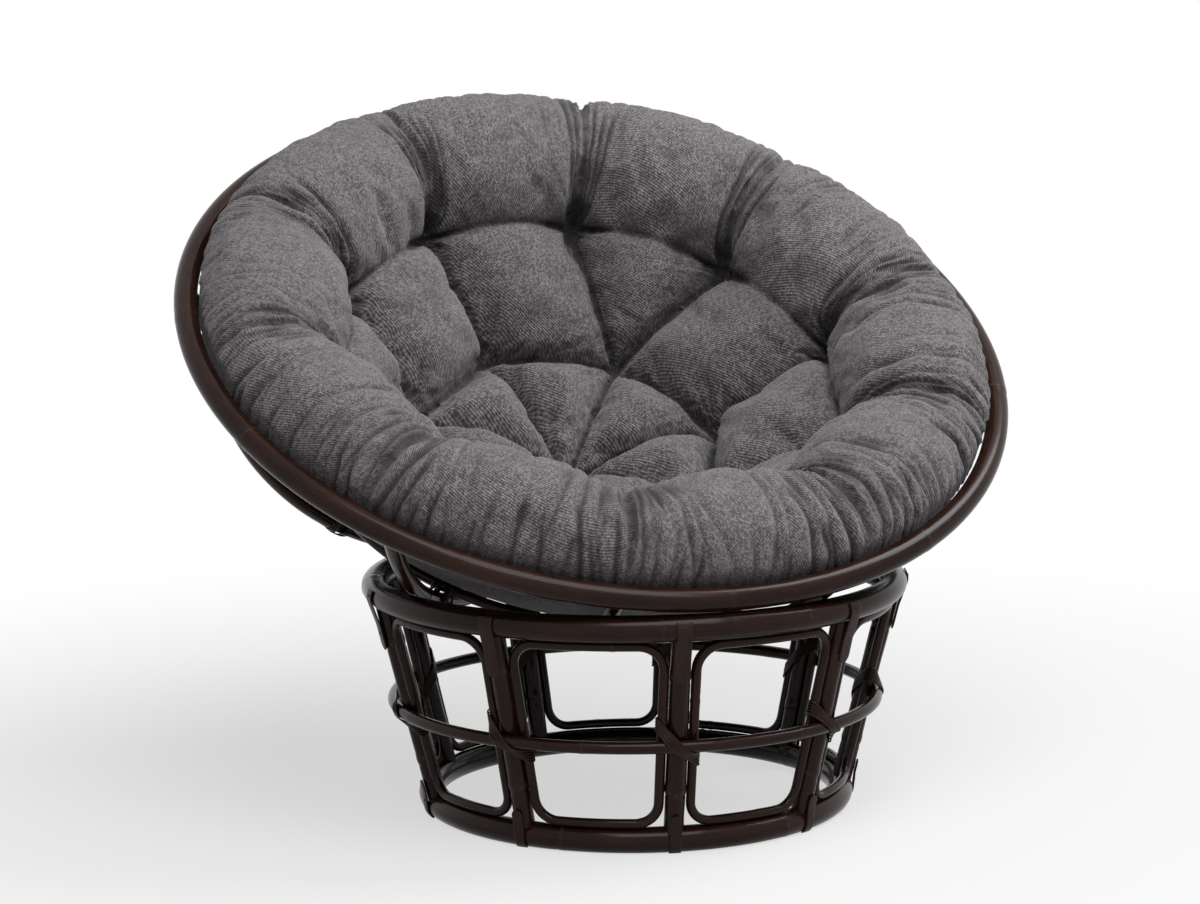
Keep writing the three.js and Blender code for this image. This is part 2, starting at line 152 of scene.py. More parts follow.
class Socket:
    """A value, colour or vector inside a material, whose arithmetic adds Math nodes."""

    def __init__(self, graph: "Graph", socket: bpy.types.NodeSocket) -> None:
        """Wraps one output socket of a graph."""
        self.graph = graph
        self.socket = socket

    def math(self, operation: str, *others: "Term") -> "Socket":
        """Adds one Math node.

        Args:
            operation: the node's operation.
            others: what follows this value.

        Returns:
            The node's result.
        """
        inputs = dict(enumerate([self, *others]))
        return self.graph.node("ShaderNodeMath", {"operation": operation}, inputs)

    def __add__(self, other: "Term") -> "Socket":
        """Adds a value."""
        return self.math("ADD", other)

    def __radd__(self, other: "Term") -> "Socket":
        """Is added to a value."""
        return self.math("ADD", other)

    def __sub__(self, other: "Term") -> "Socket":
        """Takes a value away."""
        return self.math("SUBTRACT", other)

    def __mul__(self, other: "Term") -> "Socket":
        """Multiplies by a value."""
        return self.math("MULTIPLY", other)

    def ramp(self, low: float, high: float) -> "Socket":
        """Returns how far the value lies from low to high, eased and kept between 0 and 1."""
        inputs = {"Value": self, "From Min": low, "From Max": high}
        return self.graph.node("ShaderNodeMapRange", {"interpolation_type": "SMOOTHSTEP"}, inputs)


Term = Union[float, Sequence[float], Socket]
Owner = Union[bpy.types.Material, bpy.types.World]


class Graph:
    """The node tree of one finish or of the world."""

    def __init__(self, owner: Owner) -> None:
        """Empties the node tree of a new material or world.

        Args:
            owner: the new material or world.
        """
        self.owner = owner
        owner.use_nodes = True
        self.tree = owner.node_tree
        self.tree.nodes.clear()

    @classmethod
    def named(cls, name: str) -> "Graph":
        """Starts a new material under a name."""
        return cls(bpy.data.materials.new(name))

    @staticmethod
    def _find(sockets: Sequence[bpy.types.NodeSocket], key: int | str) -> bpy.types.NodeSocket:
        """Returns the socket with an index, an identifier or a name.

        Args:
            sockets: of one node.
            key: what it is looked up by.

        Returns:
            The socket.
        """
        if isinstance(key, int):
            return sockets[key]
        for socket in sockets:
            if socket.identifier == key:
                return socket
        return next(socket for socket in sockets if socket.name == key)

    def node(
        self,
        kind: str,
        settings: dict[str, object] | None = None,
        inputs: dict[int | str, Term] | None = None,
        output: int | str | None = 0,
    ) -> Socket | None:
        """Adds any node.

        Args:
            kind: the node's type.
            settings: its properties, and under "stops" the stops of a colour ramp.
            inputs: values or links by socket index, identifier or name.
            output: which result to return, or None for a node that has none.

        Returns:
            One of the node's results, or None.
        """
        made = self.tree.nodes.new(kind)
        for name, value in (settings or {}).items():
            if name == "stops":
                self._set_stops(made, value)
            else:
                setattr(made, name, value)
        for key, value in (inputs or {}).items():
            socket = self._find(made.inputs, key)
            if isinstance(value, Socket):
                self.tree.links.new(value.socket, socket)
            else:
                socket.default_value = value
        return None if output is None else Socket(self, self._find(made.outputs, output))

    @staticmethod
    def _set_stops(ramp: bpy.types.Node, stops: Sequence[tuple[float, Colour]]) -> None:
        """Gives a colour ramp its stops.

        Args:
            ramp: the colour ramp.
            stops: a place and a colour each.
        """
        elements = ramp.color_ramp.elements
        while len(elements) > 1:
            elements.remove(elements[-1])
        for i, (place, colour) in enumerate(stops):
            element = elements[0] if i == 0 else elements.new(place)
            element.position = place
            element.color = (*colour, 1)

    def blend(self, share: Term, a: Term, b: Term) -> Socket:
        """Returns the colour that lies a share of the way from a to b."""
        inputs = {"Factor_Float": share, "A_Color": a, "B_Color": b}
        return self.node("ShaderNodeMix", {"data_type": "RGBA"}, inputs, "Result_Color")

    def vector_math(self, operation: str, a: Term, b: Term) -> Socket:
        """Adds one Vector Math node."""
        return self.node("ShaderNodeVectorMath", {"operation": operation}, {0: a, 1: b})

    def stretch(self, vector: Socket, scale: Sequence[float]) -> Socket:
        """Returns a vector times a scale on each axis."""
        return self.vector_math("MULTIPLY", vector, scale)

    def parts(self, vector: Socket) -> tuple[Socket, Socket]:
        """Returns the first two parts of a vector."""
        outputs = self.node("ShaderNodeSeparateXYZ", {}, {0: vector}).socket.node.outputs
        return Socket(self, outputs["X"]), Socket(self, outputs["Y"])

    def attribute(self, name: str) -> Socket:
        """Returns a vector that the mesh stores for each point."""
        settings = {"attribute_name": name, "attribute_type": "GEOMETRY"}
        return self.node("ShaderNodeAttribute", settings, {}, "Vector")

    def noise(self, vector: Socket, scale: float, detail: float, roughness: float) -> Socket:
        """Returns smooth noise between about 0 and 1."""
        inputs = {"Vector": vector, "Scale": scale, "Detail": detail, "Roughness": roughness}
        return self.node("ShaderNodeTexNoise", {}, inputs, "Fac")

    def bump(self, height: Socket, depth: float, strength: float) -> Socket:
        """Returns a normal that a height raises by up to a depth in metres."""
        inputs = {"Height": height, "Distance": depth, "Strength": strength}
        return self.node("ShaderNodeBump", {}, inputs)

    def seen_directly(self) -> Socket:
        """Tells what is looked at, also in gloss and through glass, from what is lit.

        Returns:
            1 for a viewer's rays, and 0 for the light on the object.
        """
        camera = self.node("ShaderNodeLightPath", {}, {}, "Is Camera Ray")
        rays = camera.socket.node.outputs
        seen = camera + Socket(self, rays["Is Glossy Ray"]) + Socket(self, rays["Is Transmission Ray"])
        return seen.math("MINIMUM", 1.0)

    def surface(self, shader: Socket, output: str = "ShaderNodeOutputMaterial") -> Owner:
        """Sends a shader to the output and returns the material or world."""
        self.node(output, {}, {"Surface": shader}, None)
        return self.owner


# Finishes


@dataclass(frozen=True)
class PoleFinish:
    """Stained and lacquered rattan, whose fibres run along the pole.

    Attributes:
        name: the material's name.
        dark: colour of the stain where it lies thick.
        light: colour of the fibres that take less stain.
        worn: colour of ridges that hands and floors have rubbed.
        fibre: width of one fibre.
        roughness: of the clean lacquer.
        specular: strength of its plain gloss.
        coat: weight of the clear coat.
        coat_roughness: of the clear coat.
        relief: depth of the fibres and pores.
    """

    name: str
    dark: Colour = (0.0075, 0.0026, 0.0017)
    light: Colour = (0.029, 0.0112, 0.0072)
    worn: Colour = (0.07, 0.036, 0.025)
    fibre: float = 0.0011
    roughness: float = 0.21
    specular: float = 0.1
    coat: float = 0.1
    coat_roughness: float = 0.09
    relief: float = 0.0004

    def material(self) -> bpy.types.Material:
        """Builds the material.

        Returns:
            The new material.
        """
        graph = Graph.named(self.name)
        grain = graph.attribute("grain")
        fibres = graph.noise(graph.stretch(grain, (1, 1, 0.035)), 1 / self.fibre, 3, 0.6)
        stain = graph.noise(graph.stretch(grain, (1, 1, 0.3)), 22, 3, 0.55)
        pores = graph.noise(graph.stretch(grain, (1, 1, 0.12)), 2.4 / self.fibre, 1, 0.5)
        wear = graph.attribute("wear")
        rub = graph.noise(grain, 160, 2, 0.6)
        worn_mask = (graph.parts(wear)[0] * rub).ramp(0.3, 0.62)
        tone = (fibres * 0.55 + stain * 0.6).ramp(0.36, 0.82)
        colour = graph.blend(tone, (*self.dark, 1), (*self.light, 1))
        colour = graph.blend(worn_mask * 0.5, colour, (*self.worn, 1))
        height = fibres * 0.6 + pores * 0.25 + stain * 0.4
        roughness = self.roughness + (stain - 0.5) * 0.22 + (pores - 0.5) * 0.12 + worn_mask * 0.12
        shader = graph.node("ShaderNodeBsdfPrincipled", {}, {
            "Base Color": colour,
            "Roughness": roughness,
            "IOR": 1.45,
            "Specular IOR Level": self.specular,
            "Coat Weight": self.coat,
            "Coat Roughness": self.coat_roughness,
            "Normal": graph.bump(height, self.relief, 0.55),
        })
        return graph.surface(shader)


@dataclass(frozen=True)
class ClothFinish:
    """Heathered chenille twill: fat soft yarns in diagonal ribs, of several greys.

    Attributes:
        name: the material's name.
        pitch: distance from yarn to yarn.
        sway: how far the yarns wander from straight lines.
        deep: colour of the darkest yarns.
        middle: colour of most yarns.
        pale: colour of the palest yarns.
        crease_shade: how much painted shade darkens the cloth deep in a crease and on the underside.
        roughness: of the yarns.
        specular: strength of their gloss.
        sheen: weight of the glow of their soft hairs.
        relief: depth of the weave.
    """

    name: str
    pitch: float = 0.0024
    sway: float = 0.0008
    deep: Colour = (0.05, 0.041, 0.046)
    middle: Colour = (0.128, 0.116, 0.123)
    pale: Colour = (0.268, 0.248, 0.259)
    crease_shade: float = 0.82
    roughness: float = 0.93
    specular: float = 0.25
    sheen: float = 0.22
    relief: float = 0.0009

    def material(self) -> bpy.types.Material:
        """Builds the material.

        Returns:
            The new material.
        """
        graph = Graph.named(self.name)
        cloth = graph.attribute("cloth")
        sway = graph.node("ShaderNodeTexNoise", {}, {"Vector": cloth, "Scale": 60, "Detail": 2}, "Color")
        centred = graph.vector_math("SUBTRACT", sway, (0.5, 0.5, 0.5))
        shifted = graph.vector_math("ADD", cloth, graph.stretch(centred, (self.sway, self.sway, 0)))
        across, along = graph.parts(graph.stretch(shifted, (1 / self.pitch, 1 / self.pitch, 1)))
        diagonal = (across + along) * math.pi
        rib = diagonal.math("SINE") * 0.5 + 0.5
        beads = ((across - along) * (math.pi * 0.9)).math("SINE") * 0.5 + 0.5
        fuzz = graph.noise(cloth, 1500, 2, 0.7)
        height = rib * (beads * 0.45 + 0.55) + fuzz * 0.5
        yarn = self._yarn_tone(graph, across, along)
        melange = graph.noise(cloth, 34, 3, 0.6)
        streak = graph.noise(graph.stretch(cloth, (260, 26, 1)), 1, 2, 0.6)
        tone = yarn * 0.64 + melange * 0.12 + streak * 0.14 + rib * 0.32 + fuzz * 0.14 - 0.19
        stops = [(0.12, self.deep), (0.52, self.middle), (0.98, self.pale)]
        colour = graph.node("ShaderNodeValToRGB", {"stops": stops}, {0: tone}, "Color")
        # Painted shade: the cloth colour is blended towards a dark shadow tone in the creases and on the
        # underside.
        cavity = graph.parts(graph.attribute("cavity"))[0]
        shadow = tuple(share * 0.35 for share in self.deep)
        colour = graph.blend(cavity.ramp(0.12, 1.0) * self.crease_shade, colour, (*shadow, 1))
        shader = graph.node("ShaderNodeBsdfPrincipled", {}, {
            "Base Color": colour,
            "Roughness": self.roughness,
            "Specular IOR Level": self.specular,
            "Sheen Weight": self.sheen,
            "Sheen Roughness": 0.45,
            "Normal": graph.bump(height, self.relief, 0.9),
        })
        return graph.surface(shader)

    @staticmethod
    def _yarn_tone(graph: Graph, across: Socket, along: Socket) -> Socket:
        """Gives each short length of yarn a random tone.

        Args:
            graph: the cloth's node tree.
            across: count of yarns across.
            along: count of yarns along.

        Returns:
            The tone.
        """
        first = ((across + along) * 0.7).math("FLOOR")
        second = ((across - along) * 0.7).math("FLOOR")
        cell = graph.node("ShaderNodeCombineXYZ", {}, {0: first, 1: second})
        return graph.node("ShaderNodeTexWhiteNoise", {"noise_dimensions": "2D"}, {"Vector": cell}, "Value")


@dataclass(frozen=True)
class PaleFloorFinish:
    """A plain pale floor that a camera sees as white where the light is full.

    Attributes:
        name: the material's name.
        colour: of the floor itself.
        lift: share of plain white that the camera sees in it near the chair.
        fade: distances between which that share grows to one.
    """

    name: str
    colour: Colour = (0.6, 0.6, 0.6)
    lift: float = 0.62
    fade: tuple[float, float] = (0.45, 1.9)

    def material(self) -> bpy.types.Material:
        """Builds the material.

        Returns:
            The new material.
        """
        graph = Graph.named(self.name)
        diffuse = graph.node("ShaderNodeBsdfDiffuse", {}, {"Color": (*self.colour, 1)})
        place = graph.node("ShaderNodeTexCoord", {}, {}, "Object")
        away = graph.node("ShaderNodeVectorMath", {"operation": "LENGTH"}, {0: place}, "Value")
        glow = graph.node("ShaderNodeEmission", {}, {"Color": (1, 1, 1, 1), "Strength": 1.0})
        share = graph.seen_directly() * (away.ramp(*self.fade) * (1 - self.lift) + self.lift)
        return graph.surface(graph.node("ShaderNodeMixShader", {}, {0: share, 1: diffuse, 2: glow}))


# Surfaces


@dataclass
class Surface:
    """Points and faces of one piece, with the vectors that its finish reads.

    Attributes:
        points: places of the points, one row each.
        faces: point numbers of each face, counted anticlockwise from outside.
        vectors: other vectors for each point, by name.
    """

    points: Array
    faces: list[tuple[int, ...]]
    vectors: dict[str, Array] = field(default_factory=dict)

    def joined(self, *others: "Surface") -> "Surface":
        """Joins surfaces.

        Args:
            others: what is added to this one.

        Returns:
            One surface that holds them all.
        """
        surfaces = [self, *others]
        faces: list[tuple[int, ...]] = []
        start = 0
        for surface in surfaces:
            faces += [tuple(start + k for k in face) for face in surface.faces]
            start += len(surface.points)
        points = np.concatenate([surface.points for surface in surfaces])
        names = self.vectors.keys()
        vectors = {name: np.concatenate([surface.vectors[name] for surface in surfaces]) for name in names}
        return Surface(points, faces, vectors)


def add_piece(
    name: str,
    surface: Surface,
    finish: bpy.types.Material,
    body: Body,
    stands_for: Sequence[str] = (),
) -> bpy.types.Object:
    """Makes a piece from a surface and lets it ride on its body. Edges with a sharp fold stay sharp.

    Args:
        name: the piece's name.
        surface: its shape.
        finish: its material.
        body: what it moves with.
        stands_for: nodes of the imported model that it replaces.

    Returns:
        The new object.
    """
    mesh = bpy.data.meshes.new(name)
    mesh.from_pydata(surface.points.tolist(), [], surface.faces)
    for label, values in surface.vectors.items():
        attribute = mesh.attributes.new(label, "FLOAT_VECTOR", "POINT")
        attribute.data.foreach_set("vector", values.astype(np.float32).ravel())
    mesh.polygons.foreach_set("use_smooth", [True] * len(mesh.polygons))
    edit = bmesh.new()
    edit.from_mesh(mesh)
    for edge in edit.edges:
        edge.smooth = edge.calc_face_angle(0) < SHARP_FOLD
    edit.to_mesh(mesh)
    edit.free()
    mesh.materials.append(finish)
    piece = bpy.data.objects.new(name, mesh)
    bpy.context.scene.collection.objects.link(piece)
    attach(piece, body.value)
    if stands_for:
        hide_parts(*stands_for)
    log.info("%s: %d faces on %s", name, len(surface.faces), body.value)
    return piece


def round_section(radius: float | Array, sides: int) -> Array:
    """Returns a round section for each radius, as rows of places along the normal and the side."""
    return np.asarray(radius, float)[..., None, None] * bearings(even_angles(sides))


def strip_section(thickness: float | Array, width: float | Array, sides: int) -> Array:
    """Returns the section of a flat strip with soft corners.

    Args:
        thickness: along the normal.
        width: along the side.
        sides: number of points.

    Returns:
        Rows of places along the normal and the side.
    """
    circle = bearings((np.arange(sides) + 0.5) / sides * FULL_TURN)
    square = np.sign(circle) * np.abs(circle) ** 0.4
    thickness, width = np.broadcast_arrays(thickness, width)
    half = np.stack([thickness, width], axis=-1)[..., None, :] / 2
    return half * square


@dataclass
class Sweep:
    """A section carried along a line.

    Attributes:
        line: centre points, one row each.
        outward: direction of the section's normal at each of them.
        closed: whether the line joins up with itself.
    """

    line: Array
    outward: Array
    closed: bool = False

    def axes(self) -> tuple[Array, Array]:
        """Works out the axes of the section along the line.

        Returns:
            The normals and the sides.
        """
        if self.closed:
            tangents = unit(np.roll(self.line, -1, axis=0) - np.roll(self.line, 1, axis=0))
        else:
            tangents = unit(np.gradient(self.line, axis=0))
        outward = np.broadcast_to(self.outward, self.line.shape)
        normals = unit(outward - (outward * tangents).sum(-1, keepdims=True) * tangents)
        return normals, np.cross(tangents, normals)

    def lengths(self) -> Array:
        """Returns how far each point lies along the line."""
        steps = np.linalg.norm(np.diff(self.line, axis=0), axis=-1)
        return np.concatenate([[0.0], np.cumsum(steps)])

    def skin(self, section: Array, seed: int, wear: float | Array) -> Surface:
        """Makes the surface.

        Args:
            section: one section, or one for each point of the line.
            seed: sets the piece's own place in the grain.
            wear: how worn each point of the line is.

        Returns:
            The surface, with its grain and wear.
        """
        normals, sides = self.axes()
        count = len(self.line)
        section = np.broadcast_to(section, (count, *section.shape[-2:]))
        around = section.shape[1]
        points = self.line[:, None] + section[..., :1] * normals[:, None]
        points = points + section[..., 1:] * sides[:, None]
        rows = count if self.closed else count - 1
        faces = []
        for i in range(rows):
            here, there = i * around, (i + 1) % count * around
            for j in range(around):
                k = (j + 1) % around
                faces.append((here + j, here + k, there + k, there + j))
        if not self.closed:
            faces.append(tuple(range(around - 1, -1, -1)))
            faces.append(tuple((count - 1) * around + j for j in range(around)))
        along = np.broadcast_to(self.lengths()[:, None, None], (count, around, 1))
        shift = np.random.default_rng(seed).uniform(-4, 4, 3)
        grain = np.concatenate([section, along], axis=-1) + shift
        worn = np.zeros((count, around, 3))
        worn[..., 0] = np.broadcast_to(np.asarray(wear, float).reshape(-1, 1), (count, around))
        vectors = {"grain": grain.reshape(-1, 3), "wear": worn.reshape(-1, 3)}
        return Surface(points.reshape(-1, 3), faces, vectors)


@dataclass
class Pole:
    """The outside of one rattan pole: growth rings, and the slight waver of a grown thing.

    Attributes:
        radius: of the plain pole.
        ring_rise: how far a growth ring stands out.
        ring_width: half the length of a growth ring.
        waver: how much the radius changes along the pole.
    """

    radius: float
    ring_rise: float = 0.0007
    ring_width: float = 0.0045
    waver: float = 0.00025

    def profile(
        self, lengths: Array, rings: Sequence[float], seed: int, total: float = 0.0
    ) -> tuple[Array, Array]:
        """Works out the radius along the pole.

        Args:
            lengths: places along the pole.
            rings: places of the growth rings.
            seed: sets this pole's waver.
            total: length of a pole that joins up with itself, or 0.

        Returns:
            The radius and the wear at each place.
        """
        random = np.random.default_rng(seed)
        span = total or max(float(lengths[-1]), 1e-6)
        radius = np.full(len(lengths), self.radius)
        for cycles in range(1, 6):
            phase = random.uniform(0, FULL_TURN)
            radius = radius + self.waver / cycles * np.sin(cycles * FULL_TURN * lengths / span + phase)
        wear = np.zeros(len(lengths))
        for ring in rings:
            away = lengths - ring
            if total:
                away = (away + total / 2) % total - total / 2
            ridge = np.exp(-((away / self.ring_width) ** 2))
            groove = np.exp(-(((away + self.ring_width * 1.3) / (self.ring_width * 0.35)) ** 2))
            radius = radius + self.ring_rise * ridge - self.ring_rise * 0.8 * groove
            wear = np.maximum(wear, ridge)
        return radius, wear


def growth_rings(random: np.random.Generator, total: float, count: int, margin: float = 0.2) -> list[float]:
    """Spreads growth rings over a pole.

    Args:
        random: where the draws come from.
        total: length of the pole.
        count: number of rings, one in each equal stretch.
        margin: share of a stretch that is kept free at either end.

    Returns:
        Their places along the pole.
    """
    return [(k + random.uniform(margin, 1 - margin)) * total / count for k in range(count)]


@dataclass
class RingLine:
    """A level round bar, as the line through its middle.

    Attributes:
        centre: the middle of the ring.
        radius: from the middle to the bar's own middle line.
        tube: radius of the bar.
        axis: the direction that the ring turns about.
    """

    centre: Array
    radius: float
    tube: float
    axis: Array

    def distance(self, points: Array) -> Array:
        """Measures how far points lie from the bar's middle line.

        Args:
            points: places.

        Returns:
            The distances.
        """
        away = points - self.centre
        rise = away @ self.axis
        spread = np.linalg.norm(away - rise[..., None] * self.axis, axis=-1)
        return np.hypot(spread - self.radius, rise)

    def meet(
        self, path: Callable[[Array], Array], inside: Array, outside: Array, clearance: float = 0.0002
    ) -> Array:
        """Finds where paths come out of the bar.

        Args:
            path: gives a point on each path for one value each.
            inside: values at which the points lie in the bar.
            outside: values at which they lie clear of it.
            clearance: gap that is left to the bar.

        Returns:
            The value for each path.
        """
        near, far = np.array(inside, float), np.array(outside, float)
        for _ in range(40):
            middle = (near + far) / 2
            clear = self.distance(path(middle)) > self.tube + clearance
            far = np.where(clear, middle, far)
            near = np.where(clear, near, middle)
        return far


# The stand


@dataclass
class Bar:
    """A straight round bar that a lashing goes round.

    Attributes:
        through: a point on its middle line.
        along: its direction.
        radius: its radius.
    """

    through: Array
    along: Array
    radius: float

    def reach(self, direction: Array, band: Array, place: float, half_width: float) -> float:
        """Works out how far it reaches in a direction, within a strip that crosses it.

        Args:
            direction: square to the band's direction.
            band: the direction of the strip's width.
            place: where the strip's middle lies along that direction.
            half_width: half the strip's width.

        Returns:
            The reach from the origin.
        """
        skew = direction @ self.along / (band @ self.along)
        level = direction @ self.through + skew * (place - band @ self.through)
        return level + half_width * abs(skew) + self.radius * np.linalg.norm(direction - skew * band)


def lashed(
    bars: Sequence[Bar],
    outward: Array,
    rising: Array,
    places: Sequence[float],
    width: float,
    thickness: float,
    lift: float,
) -> list[tuple[Array, Array]]:
    """Lays turns of peel side by side, pulled tight round crossing bars.

    Args:
        bars: what the peel goes round.
        outward: the direction from the crossing to the outside.
        rising: the direction that the turns run in across the outside.
        places: where each turn lies, square to both directions.
        width: of the peel.
        thickness: of the peel.
        lift: gap between the bars and the peel.

    Returns:
        For each turn the closed line of its middle and the directions out of it.
    """
    count = 72
    turns = even_angles(count)
    band = np.cross(outward, rising)
    directions = np.cos(turns)[:, None] * outward + np.sin(turns)[:, None] * rising
    quarters = -np.sin(turns)[:, None] * outward + np.cos(turns)[:, None] * rising
    rounds = []
    for place in places:
        reach = np.array([max(bar.reach(d, band, place, width * 0.3) for bar in bars) for d in directions])
        reach = reach + lift + thickness / 2
        slope = (np.roll(reach, -1) - np.roll(reach, 1)) / (2 * FULL_TURN / count)
        rounds.append((reach[:, None] * directions + slope[:, None] * quarters + place * band, directions))
    return rounds


@dataclass
class Stand:
    """The ring stand: two rings, nine posts, nine cane loops, a hoop, and their bindings.

    Attributes:
        pole: finish of the poles.
        peel: finish of the bindings.
    """

    pole: bpy.types.Material
    peel: bpy.types.Material
    centre_y: float = frame["joints"][0]["pos_m"][1]
    top_radius: float = 0.335
    top_tube: float = 0.0165
    top_height: float = 0.289
    foot_radius: float = 0.266
    foot_tube: float = 0.016
    cad_foot_sides: int = 8
    ring_steps: int = 288
    ring_joints: int = 6
    post_count: int = 9
    post_turn: float = math.radians(-11)
    post_radius: float = 0.0125
    post_reach: float = 0.0132
    post_ring_shares: tuple[float, ...] = (0.24, 0.79)
    press_share: float = 1.15
    loop_tube: float = 0.006
    loop_corner: float = 0.03
    loop_corner_steps: int = 12
    loop_step: float = 0.006
    loop_joints: int = 4
    hoop_tube: float = 0.008
    hoop_joints: int = 7
    hoop_share: float = 0.47
    lashing_width: float = 0.014
    lashing_turns: int = 5
    lashing_tilt: float = math.radians(42)
    peel_thickness: float = 0.0016
    peel_slack: float = 0.0004
    peel_cover: float = 0.96
    strap_width: float = 0.019
    strap_thickness: float = 0.0024
    strap_drop: float = 0.066
    strap_lead_share: float = 0.5
    strap_hook: float = math.radians(48)
    foot_strap_width: float = 0.015
    foot_strap_rise: float = 0.03
    foot_strap_hook: float = math.radians(44)
    tongue_share: float = 0.55
    top_nails: tuple[float, ...] = (0.1, 0.72)
    foot_nails: tuple[float, ...] = (0.5,)
    seat_gap: float = 0.0003
    nail_radius: float = 0.0019

    def __post_init__(self) -> None:
        """Works out the cone that the posts and loops lie on."""
        self.centre = np.array([0.0, self.centre_y, 0.0])
        self.foot_height = self.foot_tube * math.cos(math.pi / self.cad_foot_sides)
        rise = self.top_height - self.foot_height
        spread = self.top_radius - self.foot_radius
        self.slant = math.hypot(rise, spread)
        self.lean = math.atan2(spread, rise)
        self.top_line = RingLine(self.centre + self.top_height * UP, self.top_radius, self.top_tube, UP)
        self.foot_line = RingLine(self.centre + self.foot_height * UP, self.foot_radius, self.foot_tube, UP)

    def cone_radius(self, slant: float | Array) -> float | Array:
        """Returns the cone's radius at a distance up its slant."""
        return self.foot_radius + slant * math.sin(self.lean)

    def on_cone(self, slant: float | Array, angle: float | Array) -> Array:
        """Returns points at a distance up the slant and an angle round the stand."""
        height = self.foot_height + slant * math.cos(self.lean)
        return on_circle(self.cone_radius(slant), angle, height) + self.centre

    def outward(self, angle: float | Array) -> Array:
        """Returns the direction straight out of the cone at an angle."""
        return on_circle(math.cos(self.lean), angle, -math.sin(self.lean))

    def up_slant(self, angle: float) -> Array:
        """Returns the direction up the slant at an angle."""
        return on_circle(math.sin(self.lean), angle, math.cos(self.lean))

    def post_angle(self, index: int) -> float:
        """Returns where a post stands."""
        return self.post_turn + index / self.post_count * FULL_TURN

    def build(self) -> None:
        """Makes every piece of the stand."""
        self._ring("top_ring_pole", self.top_line, "stand_top_ring", Seed.TOP_RING)
        self._ring("foot_ring_pole", self.foot_line, "stand_foot_ring", Seed.FOOT_RING)
        self._hoop()
        for index in range(self.post_count):
            self._post(index)
            self._loop(index)
            self._lashing(index)
            self._top_strap(index)
            self._foot_strap(index)

    def _ring(self, name: str, ring: RingLine, node: str, seed: int) -> None:
        """Makes one of the two thick rings, worn flat where it would reach below the floor.

        Args:
            name: the piece's name.
            ring: its middle line.
            node: the node that it replaces.
            seed: sets its growth rings and grain.
        """
        angles = even_angles(self.ring_steps)
        line = on_circle(ring.radius, angles, 0.0) + ring.centre
        sweep = Sweep(line, on_circle(1.0, angles, 0.0), closed=True)
        total = FULL_TURN * ring.radius
        rings = growth_rings(np.random.default_rng(seed), total, self.ring_joints)
        pole = Pole(ring.tube, ring_rise=0.0005, ring_width=0.005, waver=0.00015)
        radius, wear = pole.profile(angles * ring.radius, rings, seed, total)
        surface = sweep.skin(round_section(radius, 32), seed, wear)
        surface.points[:, 2] = np.maximum(surface.points[:, 2], 0.0)
        add_piece(name, surface, self.pole, Body.STAND, [node])

    def _hoop(self) -> None:
        """Makes the thin hoop that lies on the outside of the loops at half height."""
        offset = self.loop_tube + self.seat_gap + self.hoop_tube
        place = self.on_cone(self.hoop_share * self.slant, 0.0) + offset * self.outward(0.0)
        self.hoop_radius = float(self.centre_y - place[1])
        angles = even_angles(self.ring_steps)
        line = on_circle(self.hoop_radius, angles, place[2]) + self.centre
        total = FULL_TURN * self.hoop_radius
        rings = [(k + 0.37) * total / self.hoop_joints for k in range(self.hoop_joints)]
        pole = Pole(self.hoop_tube, ring_rise=0.0004, ring_width=0.004, waver=0.0002)
        radius, wear = pole.profile(angles * self.hoop_radius, rings, Seed.MID_HOOP, total)
        sweep = Sweep(line, on_circle(1.0, angles, 0.0), closed=True)
        surface = sweep.skin(round_section(radius, 20), Seed.MID_HOOP, wear)
        self.hoop_line = RingLine(self.centre + place[2] * UP, self.hoop_radius, self.hoop_tube, UP)
        add_piece("mid_hoop_cane", surface, self.pole, Body.STAND, ["stand_mid_hoop"])

    def _post(self, index: int) -> None:
        """Makes a post, cut to a saddle over each ring and pressed in where the hoop crosses it.

        Args:
            index: number of the post.
        """
        angle = self.post_angle(index)
        rows, sides = 72, 28
        foot = self.on_cone(0.0, angle)
        up = self.up_slant(angle)
        normal = self.outward(angle)
        side = np.cross(up, normal)
        section = round_section(self.post_radius, sides)
        spokes = section[:, :1] * normal + section[:, 1:] * side

        def path(slant: Array) -> Array:
            """Returns the place at a slant distance on each long line of the post."""
            return foot + spokes + slant[:, None] * up

        middle = np.full(sides, self.slant / 2)
        low = self.foot_line.meet(path, np.zeros(sides), middle)
        high = self.top_line.meet(path, np.full(sides, self.slant), middle)
        shares = np.linspace(0, 1, rows)[:, None]
        slants = mix(low[None], high[None], shares)
        rings = [share * self.slant for share in self.post_ring_shares]
        pole = Pole(self.post_radius, ring_rise=0.0008, ring_width=0.006, waver=0.00022)
        radius, wear = pole.profile(slants.mean(axis=1), rings, Seed.POSTS + index)
        scale = (radius / self.post_radius)[:, None, None]
        points = foot + scale * spokes[None] + slants[..., None] * up
        points = self._press(points, normal)
        sweep = Sweep(foot + slants.mean(axis=1)[:, None] * up, normal)
        surface = sweep.skin(round_section(radius, sides), Seed.POSTS + index, wear)
        surface.points = points.reshape(-1, 3)
        node = f"stand_post_{index + 1}"
        add_piece(f"post_{index + 1}_pole", surface, self.pole, Body.STAND, [node])

    def _press(self, points: Array, normal: Array) -> Array:
        """Moves points of a post back out of the hoop's notch."""
        depth = np.maximum(self.hoop_line.tube + self.seat_gap - self.hoop_line.distance(points), 0)
        return points - depth[..., None] * normal * self.press_share

